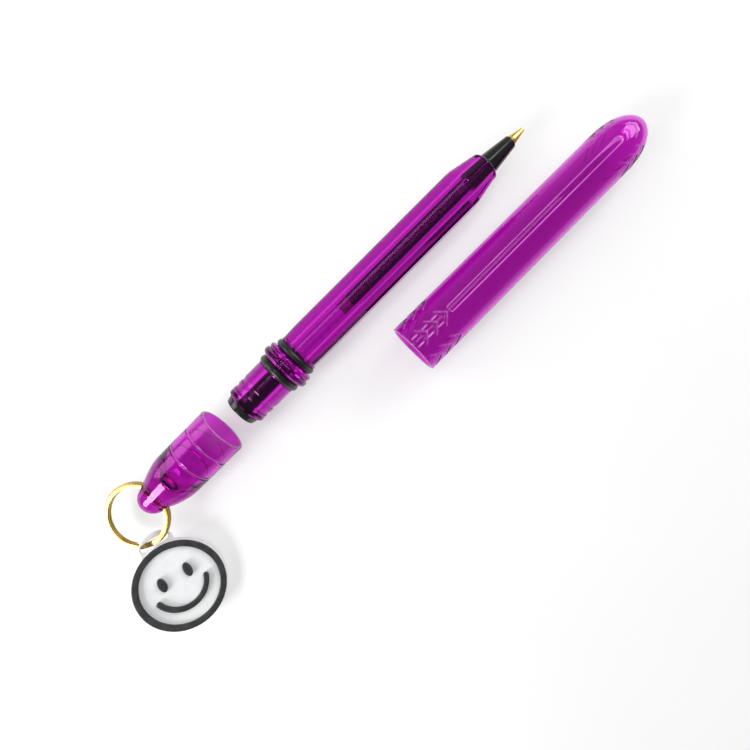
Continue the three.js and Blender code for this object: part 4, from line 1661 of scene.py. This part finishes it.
@dataclass
class Charm:
    """The soft round charm with its tab and raised face. Its own frame has the wire's crossing as
    origin, +Y out along the tab and the disc in the XY plane.

    Attributes hold real sizes in millimetres and angles in degrees.
    """

    diameter: float = 20.9
    base_thickness: float = 2.2
    relief: float = 0.7
    clearance: float = 0.05
    fill_round: float = 0.3
    thinnest: float = 0.02
    outline_width: float = 1.46
    outline_inset: float = 0.12
    eye_width: float = 1.9
    eye_height: float = 3.4
    eye_inset: float = 5.03
    eye_angle: float = 35.4
    mouth_inset: float = 2.88
    mouth_stroke: float = 1.25
    mouth_half_angle: float = 71.0
    mouth_above: float = 0.79
    tab_width: float = 8.0
    tab_thickness: float = 0.84
    tab_twist: float = 11.0
    tab_round: float = 0.28
    tab_roundness: float = 0.72
    tab_root: float = 2.4
    slot_length: float = 6.5
    slot_width: float = 2.0
    slot_rim_gap: float = 0.05
    tab_end_wall: float = 1.2
    wire_width: float = 1.3
    wire_gap: float = 0.3
    on_ring: float = 15.0
    rise: float = 5.4
    roll: float = 14.3

    def __post_init__(self) -> None:
        """Finds the charm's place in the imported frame, and the lines of its face."""
        joint = next(j for j in frame["joints"] if j["name"] == "charm_swing")
        lean = Matrix.Rotation(-math.radians(self.on_ring), 3, "Z")
        rise = Matrix.Rotation(math.radians(self.rise), 3, "X")
        roll = Matrix.Rotation(math.radians(self.roll), 3, "Y")
        self.turn = np.array(lean @ (rise @ roll))
        self.origin = np.array(joint["pos_m"])
        wire_to_rim = self.wire_width / 2 + self.wire_gap
        self.centre = -(self.diameter / 2 + self.slot_rim_gap + wire_to_rim)
        self.slot_centre = self.slot_width / 2 - wire_to_rim
        self.tab_end = self.slot_centre + self.slot_width / 2 + self.tab_end_wall
        self.top = self.base_thickness / 2
        self.face_radius = self.diameter / 2 - self.outline_inset - self.outline_width

    def place(self, points: np.ndarray) -> np.ndarray:
        """Turns points of the charm's own frame, in millimetres, into places in metres."""
        return points @ self.turn.T * MM + self.origin

    def build(self) -> None:
        """Builds every piece of the charm and dresses it."""
        hand_over(self.base(), WHITE, Body.CHARM, "charm_base")
        hand_over(self.outline(), DARK, Body.CHARM, "charm_outline")
        hand_over(self.eye(-1), DARK, Body.CHARM, "charm_left_eye")
        hand_over(self.eye(1), DARK, Body.CHARM, "charm_right_eye")
        hand_over(self.mouth(), DARK, Body.CHARM, "charm_mouth")

    def disc(
        self, name: str, corners: Sequence[Sequence[float]], closed: bool = False
    ) -> bpy.types.Object:
        """A piece turned about the disc's axis.

        Args:
            name: the new object's name.
            corners: rows of height, radius and round.
            closed: whether the profile closes on itself.

        Returns:
            The mesh object.
        """
        flat = turned_rings(rounded(corners, closed), full_turn(144))
        rings = np.stack([flat[..., 1], flat[..., 2] + self.centre, flat[..., 0]], axis=-1)
        return skin(name, self.place(rings), closed)

    def base(self) -> bpy.types.Object:
        """The white disc and its slotted tab, in one piece.

        Returns:
            The mesh object.
        """
        radius, top = self.diameter / 2, self.top
        corners = [(-top, 0, 0), (-top, radius, 0.4), (top, radius, 0.25), (top, 0, 0)]
        disc = self.disc("charm_disc", corners)
        above = [(top, 0, 0), (top, radius, 0), (3 * top, radius, 0), (3 * top, 0, 0)]
        tab = combined(self.tab(), self.disc("charm_trim", above), "DIFFERENCE")
        return combined(disc, tab, "UNION")

    def tab(self) -> bpy.types.Object:
        """The tab: a flat loop of vinyl round the slot, rounded at its end and square at its root.

        Returns:
            The mesh object.
        """
        turn = full_turn(96)
        side, up = np.sin(turn), np.cos(turn)
        half, slot_half = self.tab_width / 2, self.slot_width / 2
        reach = self.tab_roundness * half
        shoulder = self.tab_end - reach
        depth = shoulder - (self.centre + self.diameter / 2 - self.tab_root)
        square = np.maximum(np.abs(side), np.abs(up))
        outer_x = np.where(up < 0, half * side / square, half * side)
        outer_y = shoulder + np.where(up < 0, depth * up / square, reach * up)
        run = (self.slot_length - self.slot_width) / 2
        inner_x = run * np.sign(side) * np.clip(np.abs(side) * 1.5, 0, 1) + slot_half * side
        outer = np.stack([outer_x, outer_y], axis=-1)
        inner = np.stack([inner_x, self.slot_centre + slot_half * up], axis=-1)
        inward = (inner - outer) / np.linalg.norm(outer - inner, axis=-1, keepdims=True)
        edge = round_edge(self.tab_round, self.tab_thickness / 2)
        upper = [(outer + inward * inset, height) for inset, height in edge]
        upper += [(inner - inward * inset, height) for inset, height in reversed(edge)]
        both = upper + [(flat, -height) for flat, height in reversed(upper)]
        stack = np.array([at_height(flat, height) for flat, height in both])
        twist = np.array(Matrix.Rotation(math.radians(self.tab_twist), 3, "Y"))
        return skin("charm_tab", self.place(stack @ twist.T), closed=True)

    def outline(self) -> bpy.types.Object:
        """The dark raised ring round the face.

        Returns:
            The mesh object.
        """
        outer = self.diameter / 2 - self.outline_inset
        bottom = self.top + self.clearance
        top = bottom + self.relief
        corners = [
            (bottom, self.face_radius, 0.03),
            (bottom, outer, 0.03),
            (top, outer, 0.3),
            (top, self.face_radius, 0.3),
        ]
        return self.disc("charm_outline_fill", corners, closed=True)

    def raised(self, outline_at: Callable[[float], np.ndarray], half: float) -> list[np.ndarray]:
        """The rings of a raised fill with a domed edge.

        Args:
            outline_at: gives the fill's outline when drawn in by a distance.
            half: half of the fill's width.

        Returns:
            The rings, from the middle of its underside to the middle of its top.
        """
        bottom = self.top + self.clearance
        top, middle = bottom + self.relief, half - self.thinnest
        levels = [(middle, bottom), (0.0, bottom), *round_edge(self.fill_round, top), (middle, top)]
        return [at_height(outline_at(inset), height) for inset, height in levels]

    def stroked(self, name: str, rings: list[np.ndarray]) -> bpy.types.Object:
        """Closes a long fill along its middle line, above and below.

        Args:
            name: the new object's name.
            rings: the fill's rings from the middle of its underside to the middle of its top.

        Returns:
            The mesh object.
        """
        count = len(rings[0])
        points = self.place(np.array(rings))
        rows = np.arange(len(rings) - 1)[:, None] * count
        here, beside = np.arange(count), (np.arange(count) + 1) % count
        walls = np.stack([rows + here, rows + count + here, rows + count + beside, rows + beside], axis=-1)
        pairs = np.arange(count // 2 - 1)
        last = (len(rings) - 1) * count
        strip = np.stack([pairs, pairs + 1, count - 2 - pairs, count - 1 - pairs], axis=-1)
        faces = np.concatenate([walls.reshape(-1, 4), strip, strip + last])
        return mesh_object(name, points, faces)

    def eye(self, side: int) -> bpy.types.Object:
        """One oval eye.

        Args:
            side: -1 for the left eye, 1 for the right one.

        Returns:
            The mesh object.
        """
        rings = self.raised(partial(self.eye_outline, side), self.eye_width / 2)
        ends = [np.broadcast_to(ring.mean(axis=0), ring.shape) for ring in (rings[0], rings[-1])]
        label = "left" if side < 0 else "right"
        return skin(f"charm_{label}_eye_fill", self.place(np.array([ends[0], *rings, ends[1]])))

    def eye_outline(self, side: int, inset: float) -> np.ndarray:
        """An eye's outline in the disc's plane.

        Args:
            side: -1 for the left eye, 1 for the right one.
            inset: how far the outline is drawn in.

        Returns:
            The outline's points, one row each.
        """
        from_centre = self.face_radius - self.eye_inset
        across = side * from_centre * math.cos(math.radians(self.eye_angle))
        above = from_centre * math.sin(math.radians(self.eye_angle))
        wide = max(self.eye_width / 2 - inset, self.thinnest)
        tall = max(self.eye_height / 2 - inset, self.thinnest)
        turn = full_turn(64)
        return np.stack([across + wide * np.sin(turn), self.centre + above + tall * np.cos(turn)], axis=1)

    def mouth(self) -> bpy.types.Object:
        """The curved mouth with its round ends."""
        return self.stroked("charm_mouth_fill", self.raised(self.mouth_outline, self.mouth_stroke / 2))

    def mouth_outline(self, inset: float) -> np.ndarray:
        """The mouth's outline in the disc's plane, from the middle of one round end.

        Args:
            inset: how far the outline is drawn in.

        Returns:
            The outline's points, one row each.
        """
        stroke = self.mouth_stroke / 2
        radius = self.face_radius - self.mouth_inset - stroke + self.mouth_above
        half = max(stroke - inset, self.thinnest)
        low = math.radians(-90 - self.mouth_half_angle)
        high = math.radians(-90 + self.mouth_half_angle)
        run = np.linspace(low, high, 49)
        cap = np.linspace(0, math.pi, 13)[1:-1]
        outer, inner = on_circle(radius + half, run), on_circle(radius - half, run)[::-1]
        end_cap = on_circle(radius, high) + on_circle(half, high + cap)
        start_cap = on_circle(radius, low) + on_circle(half, low + math.pi + cap)
        points = np.concatenate([outer, end_cap, inner, start_cap])
        first = len(outer) + len(end_cap) // 2 + 1
        return np.roll(points, -first, axis=0) + np.array([0.0, self.centre + self.mouth_above])


LAMPS = (
    ("side_softbox", (0.0, 0.38, 0.24), (0.0, 0.0, 0.0), (1.0, 0.42), 0.25),
    ("rear_corner_softbox", (-0.2, 0.27, 0.18), (-0.05, 0.01, 0.0), (0.2, 0.22), 3.0),
    ("tail_strip", (-0.32, 0.03, 0.17), (-0.05, 0.01, 0.0), (0.14, 0.12), 17.0),
    ("front_softbox", (0.44, 0.02, 0.2), (0.05, 0.0, 0.0), (0.3, 0.22), 6.0),
    ("overhead_strip", (0.07, 0.085, 0.36), (0.07, 0.085, 0.0), (0.34, 0.07), 2.2),
    ("tip_strip", (0.34, 0.095, 0.36), (0.1, 0.03, 0.0), (0.16, 0.03), 5.0),
)


@dataclass
class Studio:
    """The floor, the lights and the camera above the pen.

    Attributes hold sizes in metres unless they say otherwise.
    """

    camera_height: float = 0.123
    camera_past_rear: float = 0.0277
    camera_below_axis: float = 0.0158
    camera_turn: float = -45.0
    focal_length: float = 24.576
    sensor_width: float = 36.0
    floor_reach: float = 3.0
    floor_shade: float = 0.58
    floor_mottle: float = 0.01
    floor_glow: float = 0.44
    world_level: float = 0.27

    def build(self) -> None:
        """Sets up everything that isn't part of the pen."""
        self.floor()
        self.world()
        self.camera()
        for lamp in LAMPS:
            self.lamp(*lamp)

    def floor(self) -> None:
        """A plain pale floor that clips to white in the light and keeps a soft shadow."""
        reach = self.floor_reach
        points = [(-reach, -reach, 0.0), (reach, -reach, 0.0), (reach, reach, 0.0), (-reach, reach, 0.0)]
        mesh = bpy.data.meshes.new("studio_floor")
        mesh.from_pydata(points, [], [(0, 1, 2, 3)])
        floor = linked("studio_floor", mesh)
        material = bpy.data.materials.new("studio_floor_paint")
        material.use_nodes = True
        material.node_tree.nodes.clear()
        tree = Tree(material.node_tree)
        shades = (self.floor_shade - self.floor_mottle, self.floor_shade + self.floor_mottle)
        mottle = tree.range(tree.noise(14.0, 3.0), 0.3, 0.7, *shades)
        paint = tree.add("ShaderNodeBsdfDiffuse", Color=tree.mix(mottle, (0, 0, 0, 1), (1, 1, 1, 1)))
        ray = tree.add("ShaderNodeLightPath").outputs
        seen = tree.math("MAXIMUM", ray["Is Camera Ray"], ray["Is Glossy Ray"])
        seen = tree.math("MAXIMUM", seen, ray["Is Transmission Ray"])
        glow = tree.add("ShaderNodeEmission", Strength=tree.math("MULTIPLY", seen, self.floor_glow))
        both = tree.add("ShaderNodeAddShader")
        tree.set(both, 0, paint.outputs[0])
        tree.set(both, 1, glow.outputs[0])
        tree.add("ShaderNodeOutputMaterial", Surface=both.outputs[0])
        mesh.materials.append(material)

    def world(self) -> None:
        """A plain grey world."""
        world = bpy.data.worlds.new("studio_room")
        world.use_nodes = True
        background = world.node_tree.nodes["Background"]
        background.inputs["Color"].default_value = (1.0, 1.0, 1.0, 1.0)
        background.inputs["Strength"].default_value = self.world_level
        bpy.context.scene.world = world

    def lamp(self, name: str, place: tuple, aim: tuple, size: tuple, radiance: float) -> None:
        """Adds a rectangular softbox that faces a point. Places and sizes are in metres.

        Args:
            name: the lamp's name.
            place: where its middle is.
            aim: the point that it faces.
            size: its width and height.
            radiance: how bright its face is, where 1 is white.
        """
        light = bpy.data.lights.new(name, "AREA")
        light.shape = "RECTANGLE"
        light.size, light.size_y = size
        light.energy = radiance * math.pi * size[0] * size[1]
        lamp = linked(name, light)
        lamp.location = place
        lamp.rotation_euler = (Vector(aim) - Vector(place)).to_track_quat("-Z", "Y").to_euler()

    def camera(self) -> None:
        """The camera: straight down, turned so that the pen lies from corner to corner."""
        low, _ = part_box("rear_plug")
        axis = box_middle("refill_tube")
        data = bpy.data.cameras.new("camera_above")
        data.lens = self.focal_length
        data.sensor_width = self.sensor_width
        data.clip_start = 0.005
        data.clip_end = 20.0
        camera = linked("camera_above", data)
        place = (low.x + self.camera_past_rear, axis.y - self.camera_below_axis, self.camera_height)
        camera.location = place
        camera.rotation_euler = (0.0, 0.0, math.radians(self.camera_turn))
        bpy.context.scene.camera = camera


def main() -> None:
    """Builds the studio and every unit of the pen, in order."""
    logging.basicConfig(level=logging.INFO, format="%(name)s: %(message)s")
    bpy.context.scene.view_settings.view_transform = "Standard"
    for part in (Studio, BarrelUnit, LongCap, EndCap, KeyRing, Charm):
        part().build()


if __name__ == "__main__":
    main()
